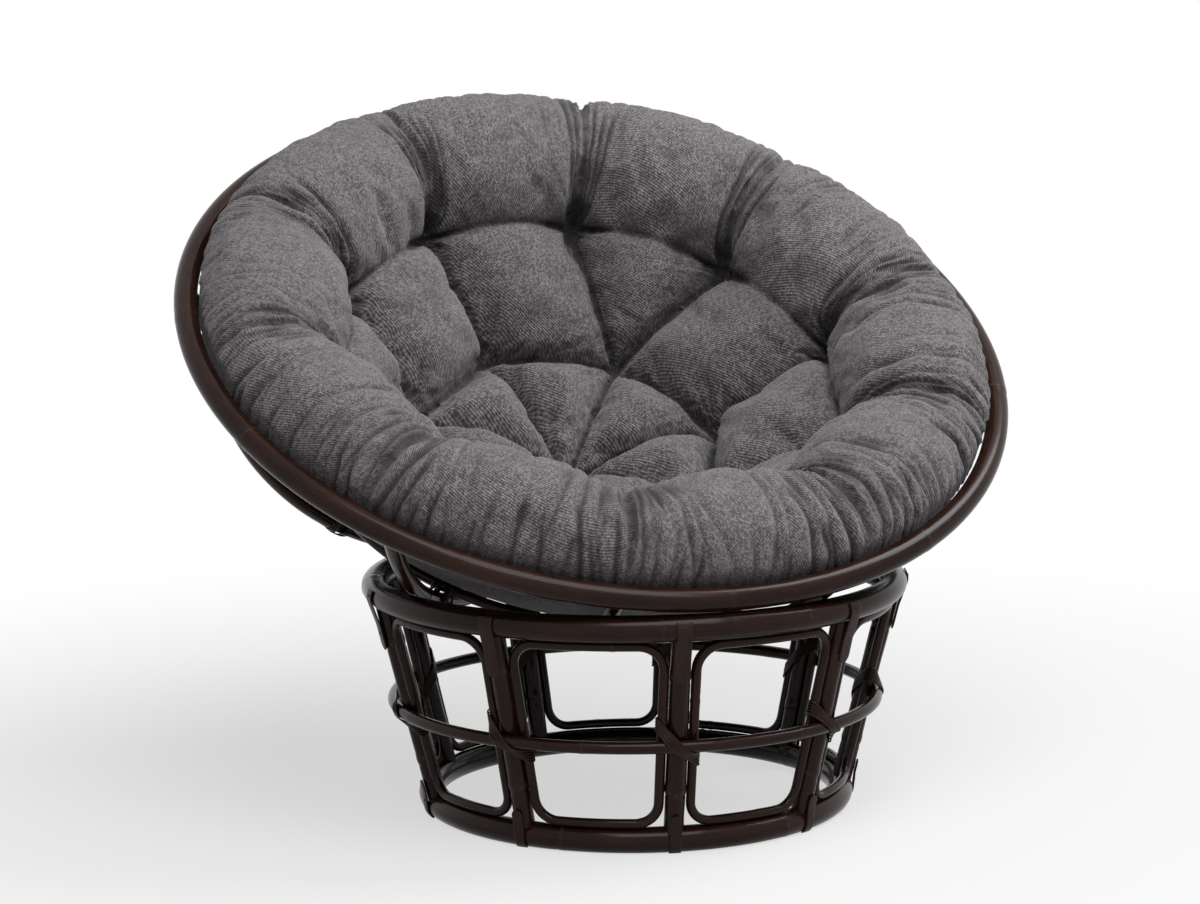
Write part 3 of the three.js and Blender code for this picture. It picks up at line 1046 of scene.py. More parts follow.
    def _outline(self, corners: Array) -> Array:
        """Rounds the corners of a loop's outline and fills its edges with points.

        Args:
            corners: places of the sharp corners, in order.

        Returns:
            The places along the outline.
        """
        points = []
        count = len(corners)
        for i in range(count):
            corner = corners[i]
            back = unit(corners[i - 1] - corner)
            ahead = unit(corners[(i + 1) % count] - corner)
            half = math.acos(float(back @ ahead)) / 2
            centre = corner + unit(back + ahead) * self.loop_corner / math.sin(half)
            start = corner + back * self.loop_corner / math.tan(half) - centre
            sweep = math.pi - 2 * half
            for turn in np.linspace(0, sweep, self.loop_corner_steps):
                cosine, sine = math.cos(turn), math.sin(turn)
                turned = [start[0] * cosine - start[1] * sine, start[0] * sine + start[1] * cosine]
                points.append(centre + np.array(turned))
        ring = np.array(points)
        following = np.roll(ring, -1, axis=0)
        filled = []
        for here, there in zip(ring, following):
            steps = max(1, int(round(float(np.linalg.norm(there - here)) / self.loop_step)))
            filled += [mix(here, there, k / steps) for k in range(steps)]
        return np.array(filled)

    def _loop(self, index: int) -> None:
        """Makes the closed cane loop in the panel after a post.

        Args:
            index: number of the post.
        """
        side_offset = self.post_reach + self.seat_gap + self.loop_tube
        low = self.foot_tube + self.seat_gap + self.loop_tube
        high = self.slant - self.top_tube - self.seat_gap - self.loop_tube

        def half_width(slant: float) -> float:
            """Returns half the loop's width at a slant distance."""
            return self.cone_radius(slant) * math.pi / self.post_count - side_offset

        near, far = half_width(low), half_width(high)
        corners = np.array([[-near, low], [near, low], [far, high], [-far, high]])
        outline = self._outline(corners)
        middle = self.post_angle(index) + math.pi / self.post_count
        angles = middle + outline[:, 0] / self.cone_radius(outline[:, 1])
        line = self.on_cone(outline[:, 1], angles)
        sweep = Sweep(line, self.outward(angles), closed=True)
        lengths = sweep.lengths()
        total = float(lengths[-1])
        rings = growth_rings(np.random.default_rng(Seed.LOOPS + index), total, self.loop_joints)
        pole = Pole(self.loop_tube, ring_rise=0.0004, ring_width=0.0035, waver=0.00015)
        radius, wear = pole.profile(lengths, rings, Seed.LOOPS + index, total)
        surface = sweep.skin(round_section(radius, 16), Seed.LOOPS + index, wear)
        node = f"panel_loop_{index + 1}"
        add_piece(f"loop_{index + 1}_cane", surface, self.pole, Body.STAND, [node])

    def _lashing(self, index: int) -> None:
        """Makes the turns of peel that bind a post, two loops and the hoop.

        Args:
            index: number of the post.
        """
        angle = self.post_angle(index)
        outward = self.outward(angle)
        up = self.up_slant(angle)
        sideways = np.cross(up, outward) * -1
        rising = math.cos(self.lashing_tilt) * sideways + math.sin(self.lashing_tilt) * up
        side_offset = self.post_reach + self.seat_gap + self.loop_tube
        bars = [
            Bar(np.zeros(3), up, self.post_reach),
            Bar(side_offset * sideways, up, self.loop_tube),
            Bar(-side_offset * sideways, up, self.loop_tube),
            Bar((self.loop_tube + self.seat_gap + self.hoop_tube) * outward, sideways, self.hoop_tube),
        ]
        width = self.lashing_width / self.lashing_turns
        places = [(turn + 0.5 - self.lashing_turns / 2) * width for turn in range(self.lashing_turns)]
        post = self.on_cone(self.hoop_share * self.slant, angle)
        random = np.random.default_rng(Seed.LASHINGS + index)
        strips = []
        rounds = lashed(bars, outward, rising, places, width, self.peel_thickness, self.seat_gap)
        for turn, (line, directions) in enumerate(rounds):
            line = post + line + random.uniform(0, self.peel_slack) * directions
            section = strip_section(self.peel_thickness, width * self.peel_cover, 8)
            seed = Seed.LASHINGS + index * 10 + turn
            strips.append(Sweep(line, directions, closed=True).skin(section, seed, 0.35))
        surface = strips[0].joined(*strips[1:])
        node = f"mid_lashing_{index + 1}"
        add_piece(f"lashing_{index + 1}_peel", surface, self.peel, Body.STAND, [node])

    def _nail(self, place: Array, normal: Array, seed: int) -> Surface:
        """Makes the low round head of a nail.

        Args:
            place: where it is driven in.
            normal: the direction out of the strap.
            seed: sets its grain.

        Returns:
            The head.
        """
        heights = np.array([-0.6, 0.1, 0.35, 0.48]) * self.nail_radius
        radii = np.array([1.0, 1.0, 0.75, 0.3]) * self.nail_radius
        line = place + heights[:, None] * normal
        side = unit(np.cross(normal, np.array([0.3, 0.2, 1.0])))
        return Sweep(line, side).skin(round_section(radii, 12), seed, 0.6)

    def _strap(
        self,
        name: str,
        angle: float,
        places: Array,
        width: float,
        seed: int,
        nails: Sequence[float],
        node: str | None,
    ) -> None:
        """Makes a strap of peel whose line lies in the plane through a post and the stand's axis.

        Args:
            name: the piece's name.
            angle: of the post.
            places: distances outwards and down from the middle of a ring, one row each.
            width: of the strap.
            seed: sets its grain.
            nails: shares of its length at which it is nailed.
            node: the node that it replaces, if any.
        """
        outward = self.outward(angle)
        down = -self.up_slant(angle)
        base = self.top_line if node else self.foot_line
        middle = on_circle(base.radius, angle, 0.0) + base.centre
        line = middle + places[:, :1] * outward + places[:, 1:] * down
        sideways = np.cross(outward, down)
        tangents = unit(np.gradient(line, axis=0))
        normals = np.cross(sideways, tangents)
        normals *= np.sign((normals * outward).sum(axis=1).mean())
        sweep = Sweep(line, normals)
        lengths = sweep.lengths()
        left = lengths[-1] - lengths
        share = np.clip(left / (width * self.tongue_share), 0, 1)
        tongue = np.sqrt(np.clip(1 - (1 - share) ** 2, 0.02, 1))
        section = strip_section(self.strap_thickness * mix(0.55, 1.0, tongue), width * tongue, 16)
        surface = sweep.skin(section, seed, 0.25)
        heads = []
        for share in nails:
            row = int(np.argmin(np.abs(lengths - share * lengths[-1])))
            place = line[row] + normals[row] * self.strap_thickness / 2
            heads.append(self._nail(place, normals[row], seed + 1))
        surface = surface.joined(*heads)
        add_piece(name, surface, self.peel, Body.STAND, [node] if node else [])

    def _top_strap(self, index: int) -> None:
        """Makes the strap from the top ring down the face of a post.

        Args:
            index: number of the post.
        """
        half = self.strap_thickness / 2
        ring_reach = self.top_tube + self.seat_gap + half
        post_reach = self.post_reach + self.seat_gap + half
        landing = np.array([post_reach, self.strap_lead_share * self.strap_drop])
        leave = math.atan2(landing[1], landing[0]) - math.acos(ring_reach / float(np.linalg.norm(landing)))
        turns = np.linspace(-self.strap_hook, leave, 20)
        arc = ring_reach * bearings(turns)
        lead = mix(arc[-1], landing, np.linspace(0, 1, 8)[1:, None])
        tail = mix(landing, np.array([post_reach, self.strap_drop]), np.linspace(0, 1, 22)[1:, None])
        places = np.concatenate([arc, lead, tail])
        angle = self.post_angle(index)
        node = f"top_strap_{index + 1}"
        seed = Seed.TOP_STRAPS + index
        self._strap(f"{node}_peel", angle, places, self.strap_width, seed, self.top_nails, node)

    def _foot_strap(self, index: int) -> None:
        """Makes the strap from under the foot ring up the face of a post.

        Args:
            index: number of the post.
        """
        half = self.strap_thickness / 2
        ring_reach = self.foot_tube + self.seat_gap + half
        post_reach = self.post_reach + self.seat_gap + half
        landing = np.array([post_reach, -self.foot_strap_rise * 0.75])
        share = min(1.0, ring_reach / float(np.linalg.norm(landing)))
        leave = math.atan2(landing[1], landing[0]) + math.acos(share)
        turns = np.linspace(self.foot_strap_hook, leave, 20)
        arc = ring_reach * bearings(turns)
        lead = mix(arc[-1], landing, np.linspace(0, 1, 5)[1:, None])
        end = np.array([post_reach, -self.foot_strap_rise * 1.3])
        tail = mix(landing, end, np.linspace(0, 1, 12)[1:, None])
        places = np.concatenate([arc, lead, tail])
        angle = self.post_angle(index)
        name = f"foot_strap_{index + 1}_peel"
        seed = Seed.FOOT_STRAPS + index
        self._strap(name, angle, places, self.foot_strap_width, seed, self.foot_nails, None)


# The bowl


@dataclass
class BowlFrame:
    """The bowl's own frame: its Z axis runs out of the open side, from the centre of the ribs' sphere."""

    centre: Array = field(default_factory=lambda: np.array(frame["joints"][0]["pos_m"], float))
    axis: Array = field(default_factory=lambda: unit(np.array(frame["joints"][1]["axis"], float)))

    def __post_init__(self) -> None:
        """Works out the other two axes."""
        self.right = np.array([1.0, 0.0, 0.0])
        self.back = np.cross(self.axis, self.right)

    def place(self, local: Array) -> Array:
        """Returns points of the bowl's frame in the frame of the chair."""
        return self.centre + self.turn(local)

    def turn(self, local: Array) -> Array:
        """Returns directions of the bowl's frame in the frame of the chair."""
        return local[..., :1] * self.right + local[..., 1:2] * self.back + local[..., 2:] * self.axis

    @staticmethod
    def on_sphere(radius: float | Array, polar: float | Array, angle: float | Array) -> Array:
        """Returns local points at a radius, an angle from straight below and an angle round the axis."""
        radius = np.asarray(radius, float)
        return on_circle(radius * np.sin(polar), angle, -radius * np.cos(polar))


@dataclass
class Bowl:
    """The bowl of bent poles: a rim, ribs and three hoops.

    Attributes:
        where: the bowl's own frame.
        pole: finish of the poles.
        peel: finish of the bindings.
    """

    where: BowlFrame
    pole: bpy.types.Material
    peel: bpy.types.Material
    rim_radius: float = 0.54
    rim_tube: float = 0.015
    rim_to_centre: float = 0.251
    rib_count: int = 12
    rib_tube: float = 0.01
    rib_overhang: float = 0.024
    rib_ring_gap: float = 0.25
    rib_clearance: float = 0.0007
    foot_rounding: float = 0.005
    foot_share: float = 0.72
    hoop_tube: float = 0.007
    upper_drop: float = 0.03
    middle_radius: float = 0.352
    base_radius: float = 0.112
    seat_gap: float = 0.0003
    binding_width: float = 0.0032
    binding_thickness: float = 0.0012
    binding_cover: float = 0.95
    binding_tilt: float = math.radians(45)
    steps_per_metre: int = 640
    ring_gap: float = 0.42

    def __post_init__(self) -> None:
        """Works out the sphere that the ribs lie on."""
        self.sphere = math.hypot(self.rim_radius, self.rim_to_centre)
        self.rim_polar = math.atan2(self.rim_radius, self.rim_to_centre)
        self.rib_foot = (self.base_radius - self.rib_overhang) / self.sphere
        self.hoop_sphere = self.sphere - self.rib_tube - self.rib_clearance - self.seat_gap - self.hoop_tube
        self.polars = {
            "upper": self.rim_polar - self.upper_drop / self.sphere,
            "middle": math.asin(self.middle_radius / self.hoop_sphere),
            "base": math.asin(self.base_radius / self.hoop_sphere),
        }
        centre = self.where.place(np.array([0.0, 0.0, -self.rim_to_centre]))
        self.rim_line = RingLine(centre, self.rim_radius, self.rim_tube, self.where.axis)

    def build(self) -> None:
        """Makes every piece of the bowl."""
        rim = Pole(self.rim_tube, ring_rise=0.0005, ring_width=0.006, waver=0.0002)
        self._ring("rim_pole", self.rim_radius, -self.rim_to_centre, rim, "bowl_rim", Seed.RIM, 36)
        for number, (name, polar) in enumerate(self.polars.items()):
            local = self.where.on_sphere(self.hoop_sphere, polar, 0.0)
            radius = float(-local[1])
            pole = Pole(self.hoop_tube, ring_rise=0.0004, ring_width=0.004, waver=0.0002)
            node = f"bowl_{name}_hoop"
            seed = Seed.BOWL_HOOPS + number
            self._ring(f"{name}_hoop_cane", radius, float(local[2]), pole, node, seed, 20)
        for index in range(self.rib_count):
            self._rib(index)
            self._binding(index, "middle")
            self._binding(index, "base")

    def rib_angle(self, index: int) -> float:
        """Returns where a rib lies round the bowl."""
        return (index + 0.5) / self.rib_count * FULL_TURN

    def _ring(
        self, name: str, radius: float, height: float, pole: Pole, node: str, seed: int, sides: int
    ) -> None:
        """Makes the rim or one of the hoops.

        Args:
            name: the piece's name.
            radius: of its middle line.
            height: along the bowl's axis.
            pole: what it is made of.
            node: the node that it replaces.
            seed: sets its growth rings and grain.
            sides: number of sides of its section.
        """
        steps = max(120, int(radius * self.steps_per_metre))
        angles = even_angles(steps)
        line = self.where.place(on_circle(radius, angles, height))
        outward = self.where.turn(on_circle(1.0, angles, 0.0))
        total = FULL_TURN * radius
        count = max(2, round(total / self.ring_gap))
        rings = growth_rings(np.random.default_rng(seed), total, count, 0.15)
        widths, wear = pole.profile(angles * radius, rings, seed, total)
        surface = Sweep(line, outward, closed=True).skin(round_section(widths, sides), seed, wear)
        add_piece(name, surface, self.pole, Body.BOWL, [node])

    def _rib(self, index: int) -> None:
        """Makes a rib, cut to a saddle against the rim.

        Args:
            index: number of the rib.
        """
        angle = self.rib_angle(index)
        rows, sides = 110, 22
        section = round_section(self.rib_tube, sides)
        across = on_circle(0.0, angle, 0.0) + np.array([math.cos(angle), math.sin(angle), 0.0])

        def path(polar: Array, radius: float | Array = 1.0) -> Array:
            """Returns the place at a polar angle on each long line of the rib."""
            local = self.where.on_sphere(self.sphere + section[:, 0] * radius, polar, angle)
            return self.where.place(local + section[:, 1:] * radius * across)

        inside = np.full(sides, self.rim_polar)
        end = self.rim_line.meet(path, inside, inside - 0.15)
        start = np.full(sides, self.rib_foot)
        shares = np.linspace(0, 1, rows)
        polars = mix(start[None], end[None], shares[:, None])
        lengths = polars.mean(axis=1) * self.sphere
        random = np.random.default_rng(Seed.RIBS + index)
        rings = [lengths[0] + place for place in growth_rings(random, 2 * self.rib_ring_gap, 2)]
        pole = Pole(self.rib_tube, ring_rise=0.0006, ring_width=0.005, waver=0.0002)
        radius, wear = pole.profile(lengths, rings, Seed.RIBS + index)
        scale = radius / self.rib_tube
        foot_round = np.clip((lengths - lengths[0]) / self.foot_rounding, 0, 1)
        scale = scale * mix(self.foot_share, 1.0, rounded(foot_round))
        points = np.stack([path(polars[k], scale[k]) for k in range(rows)])
        middle = self.where.place(self.where.on_sphere(self.sphere, polars.mean(axis=1), angle))
        outward = self.where.turn(self.where.on_sphere(1.0, polars.mean(axis=1), angle))
        surface = Sweep(middle, outward).skin(round_section(radius, sides), Seed.RIBS + index, wear)
        surface.points = points.reshape(-1, 3)
        node = f"bowl_rib_{index + 1}"
        add_piece(f"rib_{index + 1}_pole", surface, self.pole, Body.BOWL, [node])

    def _binding(self, index: int, hoop: str) -> None:
        """Makes the turns of peel that bind a rib to a hoop.

        Args:
            index: number of the rib.
            hoop: name of the hoop that it is bound to.
        """
        angle = self.rib_angle(index)
        polar = self.polars[hoop]
        outward = self.where.turn(self.where.on_sphere(1.0, polar, angle))
        along = self.where.turn(on_circle(math.cos(polar), angle, math.sin(polar)))
        across = np.cross(along, outward)
        middle = self.where.place(self.where.on_sphere(self.sphere, polar, angle))
        hoop_place = (self.hoop_sphere - self.sphere) * outward
        bars = [Bar(np.zeros(3), along, self.rib_tube), Bar(hoop_place, across, self.hoop_tube)]
        places = [(turn - 1) * self.binding_width for turn in range(3)]
        strips = []
        for number, tilt in enumerate((self.binding_tilt, -self.binding_tilt)):
            rising = math.cos(tilt) * across + math.sin(tilt) * along
            lift = self.seat_gap + self.rib_clearance + self.binding_thickness * number
            rounds = lashed(bars, outward, rising, places, self.binding_width, self.binding_thickness, lift)
            for turn, (line, directions) in enumerate(rounds):
                section = strip_section(self.binding_thickness, self.binding_width * self.binding_cover, 8)
                seed = Seed.BINDINGS + index * 8 + number * 3 + turn
                strips.append(Sweep(middle + line, directions, closed=True).skin(section, seed, 0.3))
        surface = strips[0].joined(*strips[1:])
        add_piece(f"{hoop}_binding_{index + 1}_peel", surface, self.peel, Body.BOWL)


# The cushion


@dataclass
class Fold:
    """One narrow fold that runs over the roll.

    Attributes:
        angle: where it lies round the bowl.
        drift: half of how far it wanders sideways from end to end.
        start: where along the roll's section it begins.
        stop: where it ends.
        depth: how deep it is.
        width: half its width.
    """

    angle: float
    drift: float
    start: float
    stop: float
    depth: float
    width: float


@dataclass
class Cushion:
    """The thick round cushion: a pad of tufted biscuits inside a fat gathered roll.

    Attributes:
        where: the bowl's own frame.
        cloth: finish of the cover.
        thread: finish of the tuft ties.
    """

    where: BowlFrame
    cloth: bpy.types.Material
    thread: bpy.types.Material
    # The sewn form
    under_sphere: float = 0.5697
    rim_to_centre: float = 0.251
    roll_radius: float = 0.08
    roll_centre_radius: float = 0.4425
    roll_centre_drop: float = 0.01
    pad_thickness: float = 0.142
    tuft_thickness: float = 0.03
    crease_thickness: float = 0.074
    furrow_thickness: float = 0.13
    biscuit_reach: float = 0.092
    outer_count: int = 10
    outer_turn: float = math.radians(22)
    outer_polar: float = math.radians(48)
    inner_count: int = 7
    inner_turn: float = math.radians(-8.3)
    inner_polar: float = math.radians(26)
    link_reach: float = math.radians(27)
    gather_depth: float = 0.03
    gather_reach: float = 0.05
    segments: int = 360
    pad_rows: int = 44
    roll_rows: int = 64
    under_rows: int = 22
    voxel: float = 0.0062
    # How firmly it is held and how hard it is stuffed
    under_hold: float = 0.004
    tuft_radius: float = 0.009
    tuft_ease: float = 0.012
    crease_hold: float = 0.7
    crease_half: float = 0.014
    gather_hold: float = 0.22
    gather_half: float = 0.009
    furrow_hold: float = 0.3
    furrow_half: float = 0.01
    hold_levels: int = 10
    filling_pressure: float = 4.0
    swell_frames: int = 20
    swell_cap: float = 0.017
    # Folds and creases
    fold_count: int = 18
    fold_depths: tuple[float, float] = (0.004, 0.0092)
    fold_widths: tuple[float, float] = (0.0038, 0.0066)
    pleat_count: int = 13
    pleat_depths: tuple[float, float] = (0.003, 0.0066)
    pleat_widths: tuple[float, float] = (0.0036, 0.006)
    fan_spreads: tuple[float, ...] = (-0.028, -0.062, -0.1, 0.028, 0.062, 0.1)
    fan_depths: tuple[float, float] = (0.0055, 0.0105)
    fan_widths: tuple[float, float] = (0.0036, 0.0056)
    tuft_fold_count: int = 12
    tuft_fold_depth: float = 0.0045
    tuft_fold_widths: tuple[float, float] = (0.045, 0.1)
    tuft_fold_lengths: tuple[float, float] = (0.045, 0.1)
    tuft_fold_height: float = 0.05
    tuft_fold_reach: float = 0.17
    rumple_waves: int = 26
    rumple_lengths: tuple[float, float] = (0.03, 0.1)
    rumple_share: float = 0.0055
    groove_depth: float = 0.0095
    groove_width: float = 0.0048
    furrow_share: float = 0.5
    roll_core: float = 0.03
    roll_span: float = 0.12
    # Painted shade: how deep a fold is fully darkened, and how much darker the underside in the bowl is
    # painted
    full_shade_depth: float = 0.0078
    underside_painted_shade: float = 0.5
    underside_drop: float = 0.025
    underside_ease: float = 0.02
    underside_depth: float = 0.012
    # The cloth, the fit in the rim and the ties
    seam_turn: float = -0.2
    cover_depth: float = 0.08
    roll_swell: float = 0.012
    rim_clearance: float = 0.5225
    rim_press: float = 0.005
    press_rise: float = 0.006
    rim_band: float = 0.024
    press_ease: float = 0.05
    thread_radius: float = 0.0008
    tie_sink: float = 0.002
    tie_reach: float = 0.0068
    tie_rise: float = 0.0022

    def __post_init__(self) -> None:
        """Works out the tufts and the creases between them."""
        outer = self.outer_turn + even_angles(self.outer_count)
        inner = self.inner_turn + even_angles(self.inner_count)
        inner_places = [(self.inner_polar, a) for a in inner]
        self.spacing = FULL_TURN / self.outer_count
        self.tuft_places = [(0.0, 0.0)] + inner_places + [(self.outer_polar, a) for a in outer]
        self.creases = [((0.0, 0.0), place) for place in inner_places]
        self.creases += list(zip(inner_places, inner_places[1:] + inner_places[:1]))
        for a in outer:
            for b in inner:
                away = abs((a - b + math.pi) % FULL_TURN - math.pi)
                if away < self.link_reach:
                    self.creases.append(((self.inner_polar, b), (self.outer_polar, a)))
        self.roll_centre = np.array([self.roll_centre_radius, -self.rim_to_centre - self.roll_centre_drop])

    def flat(self, polar: float | Array, angle: float | Array) -> Array:
        """Returns a place on the pad as if its cover lay flat."""
        reach = self.under_sphere * np.asarray(polar, float)
        return np.stack(np.broadcast_arrays(reach * np.sin(angle), -reach * np.cos(angle)), axis=-1)

    def from_gather(self, angle: float | Array) -> float | Array:
        """Returns how far an angle lies from the nearest gather, where the next gather is at 1."""
        return abs(((angle - self.outer_turn) / self.spacing + 0.5) % 1.0 - 0.5)

    def crease_gap(self, places: Array) -> Array:
        """Measures how far flat places lie from the nearest crease.

        Args:
            places: on the flat pad.

        Returns:
            The distances.
        """
        gap = np.full(len(places), 1.0)
        for a, b in self.creases:
            gap = np.minimum(gap, self._gap(places, self.flat(*a), self.flat(*b))[0])
        return gap

    def pad_height(self, polar: Array, angle: Array) -> Array:
        """Works out how thick the pad is, with its biscuits, creases and tufts.

        Args:
            polar: angle from the middle of the pad.
            angle: round the bowl.

        Returns:
            The height at each place.
        """
        places = self.flat(polar, angle)
        crown = self.pad_thickness
        height = np.full(np.broadcast(polar, angle).shape, crown)
        for a, b in self.creases:
            height = np.minimum(height, self._crease(places, self.flat(*a), self.flat(*b), crown))
        ring_gap = np.abs(np.asarray(polar) - self.outer_polar) * self.under_sphere
        share = ((np.asarray(angle) - self.outer_turn) / self.spacing) % 1.0
        floor = mix(self.tuft_thickness, self.furrow_thickness, np.sin(math.pi * share) ** 0.6)
        furrow = floor + (crown - floor) * self._swell(ring_gap / self.biscuit_reach)
        return np.minimum(height, np.broadcast_to(furrow, height.shape))

    @staticmethod
    def _swell(share: Array) -> Array:
        """Returns how full a biscuit is at a share of the way from a crease to its crown."""
        return mix(rounded(share), np.sin(np.clip(share, 0, 1) * math.pi / 2), 0.55)

    @staticmethod
    def _gap(places: Array, a: Array, b: Array) -> tuple[Array, Array]:
        """Measures how far places lie from a line.

        Args:
            places: on the flat pad.
            a: one end of the line.
            b: its other end.

        Returns:
            The distances, and the share of the line that is nearest.
        """
        along = b - a
        share = np.clip((places - a) @ along / float(along @ along), 0, 1)
        return np.linalg.norm(places - a - share[..., None] * along, axis=-1), share

    def _crease(self, places: Array, a: Array, b: Array, crown: float) -> Array:
        """Works out the height that one crease between two tufts leaves.

        Args:
            places: on the flat pad.
            a: one tuft.
            b: the other tuft.
            crown: height of the pad.

        Returns:
            The height at each place.
        """
        gap, share = self._gap(places, a, b)
        length = float(np.linalg.norm(b - a))
        level = self.crease_thickness * mix(0.85, 1.15, min(1.0, length / 0.25))
        floor = mix(self.tuft_thickness, level, np.sin(math.pi * share) ** 0.7)
        return floor + (crown - floor) * self._swell(gap / self.biscuit_reach)

    def meridian(self, angle: float) -> Array:
        """Works out one meridian, from the middle of the top over the roll to the middle of the underside.

        Args:
            angle: where it lies round the bowl.

        Returns:
            Distances from the axis and heights, one row each.
        """
        polars = np.arange(1, self.pad_rows + 1) / self.pad_rows * self.outer_polar
        radii = self.under_sphere - self.pad_height(polars, np.full(len(polars), angle))
        pad = np.stack([radii * np.sin(polars), -radii * np.cos(polars)], axis=-1)
        start = pad[-1] - self.roll_centre
        reach = float(np.linalg.norm(self.roll_centre))
        landing = (reach**2 + self.under_sphere**2 - self.roll_radius**2) / (2 * reach * self.under_sphere)
        polar = math.atan2(self.roll_centre[0], -self.roll_centre[1]) + math.acos(landing)
        end = self.under_sphere * np.array([math.sin(polar), -math.cos(polar)]) - self.roll_centre
        begin_turn = math.atan2(start[1], start[0]) % FULL_TURN
        end_turn = math.atan2(end[1], end[0])
        shares = np.arange(1, self.roll_rows + 1) / self.roll_rows
        turns = mix(begin_turn, end_turn, shares)
        lead = mix(float(np.linalg.norm(start)), self.roll_radius, smooth_step(shares / 0.6))
        away = self.from_gather(angle) * self.spacing * self.roll_centre_radius
        valley = 1 - rounded(away / self.gather_reach)
        over = mix(1.0, 0.22, smooth_step(shares / 0.52))
        fade = smooth_step(shares / 0.12) * over * (1 - smooth_step((shares - 0.9) / 0.1))
        lead = lead - self.gather_depth * valley * fade
        roll = self.roll_centre + lead[:, None] * bearings(turns)
        unders = polar * (1 - np.arange(1, self.under_rows) / self.under_rows)
        under = self.under_sphere * np.stack([np.sin(unders), -np.cos(unders)], axis=-1)
        return np.concatenate([pad, roll, under])

    def form(self) -> Surface:
        """Makes the sewn form of the cushion before it is stuffed.

        Returns:
            The closed form.
        """
        angles = self.outer_turn + even_angles(self.segments)
        rows = np.stack([self.meridian(a) for a in angles])
        count = rows.shape[1]
        local = on_circle(rows[..., 0], angles[:, None], rows[..., 1])
        middle_height = float(self.pad_height(np.zeros(1), np.zeros(1))[0])
        top = np.array([[0.0, 0.0, -self.under_sphere + middle_height]])
        bottom = np.array([[0.0, 0.0, -self.under_sphere]])
        points = np.concatenate([top, bottom, local.reshape(-1, 3)])
        faces: list[tuple[int, ...]] = []
        for i in range(self.segments):
            here = 2 + i * count
            there = 2 + (i + 1) % self.segments * count
            faces.append((0, here, there))
            faces.append((1, there + count - 1, here + count - 1))
            faces += [(here + j, here + j + 1, there + j + 1, there + j) for j in range(count - 1)]
        return Surface(points, faces)

    def build(self) -> None:
        """Makes the cushion and its tuft ties."""
        cover = self._scratch_mesh(self.form())
        self._stuff(cover)
        self._finish_cover(cover)
        self._ties()

    def _scratch_mesh(self, surface: Surface) -> bpy.types.Object:
        """Makes an even mesh of the form, in the bowl's own frame.

        Args:
            surface: the form.

        Returns:
            The object.
        """
        mesh = bpy.data.meshes.new("seat_cushion_cover")
        mesh.from_pydata(surface.points.tolist(), [], surface.faces)
        cover = bpy.data.objects.new("seat_cushion_cover", mesh)
        bpy.context.scene.collection.objects.link(cover)
        remesh = cover.modifiers.new("even", "REMESH")
        remesh.mode = "VOXEL"
        remesh.voxel_size = self.voxel
        self._apply(cover)
        return cover

    @staticmethod
    def _apply(piece: bpy.types.Object) -> None:
        """Puts what the modifiers make into the mesh and removes them.

        Args:
            piece: the object.
        """
        graph = bpy.context.evaluated_depsgraph_get()
        mesh = bpy.data.meshes.new_from_object(piece.evaluated_get(graph))
        piece.modifiers.clear()
        piece.data = mesh

    @staticmethod
    def _coordinates(mesh: bpy.types.Mesh) -> Array:
        """Reads the places of a mesh's points.

        Args:
            mesh: the mesh.

        Returns:
            The places.
        """
        values = np.zeros(len(mesh.vertices) * 3, np.float32)
        mesh.vertices.foreach_get("co", values)
        return values.reshape(-1, 3).astype(float)

    def _held(self, points: Array) -> Array:
        """Works out how firmly each point is held while the cushion is stuffed.

        Args:
            points: in the bowl's own frame.

        Returns:
            1 where a point stays in place, down to 0 where it is free.
        """
        radius = np.linalg.norm(points, axis=1)
        below = points[:, 2] < -self.rim_to_centre - 0.02
        held = np.where((radius > self.under_sphere - self.under_hold) & below, 1.0, 0.0)
        for polar, angle in self.tuft_places:
            tuft = self.where.on_sphere(self.under_sphere - self.tuft_thickness, polar, angle)
            away = np.linalg.norm(points - tuft, axis=1)
            held = np.maximum(held, 1 - smooth_step((away - self.tuft_radius) / self.tuft_ease))
        angles, turns, reach = self._roll_place(points)
        polars = np.arctan2(np.hypot(points[:, 0], points[:, 1]), -points[:, 2])
        upper = (radius < self.under_sphere - 0.015) & (polars < self.outer_polar + 0.02)
        gap = self.crease_gap(self.flat(polars, angles))
        crease = self.crease_hold * (1 - smooth_step(gap / self.crease_half))
        held = np.maximum(held, np.where(upper, crease, 0))
        away = np.abs(polars - self.outer_polar) * self.under_sphere
        furrow = self.furrow_hold * (1 - smooth_step(away / self.furrow_half))
        held = np.maximum(held, np.where(upper, furrow, 0))
        away = self.from_gather(angles) * self.spacing * self.roll_centre_radius
        gather = self.gather_hold * (1 - smooth_step(away / self.gather_half))
        inner_roll = (turns > 1.7) & (reach < self.roll_span)
        return np.maximum(held, np.where(inner_roll, gather, 0))

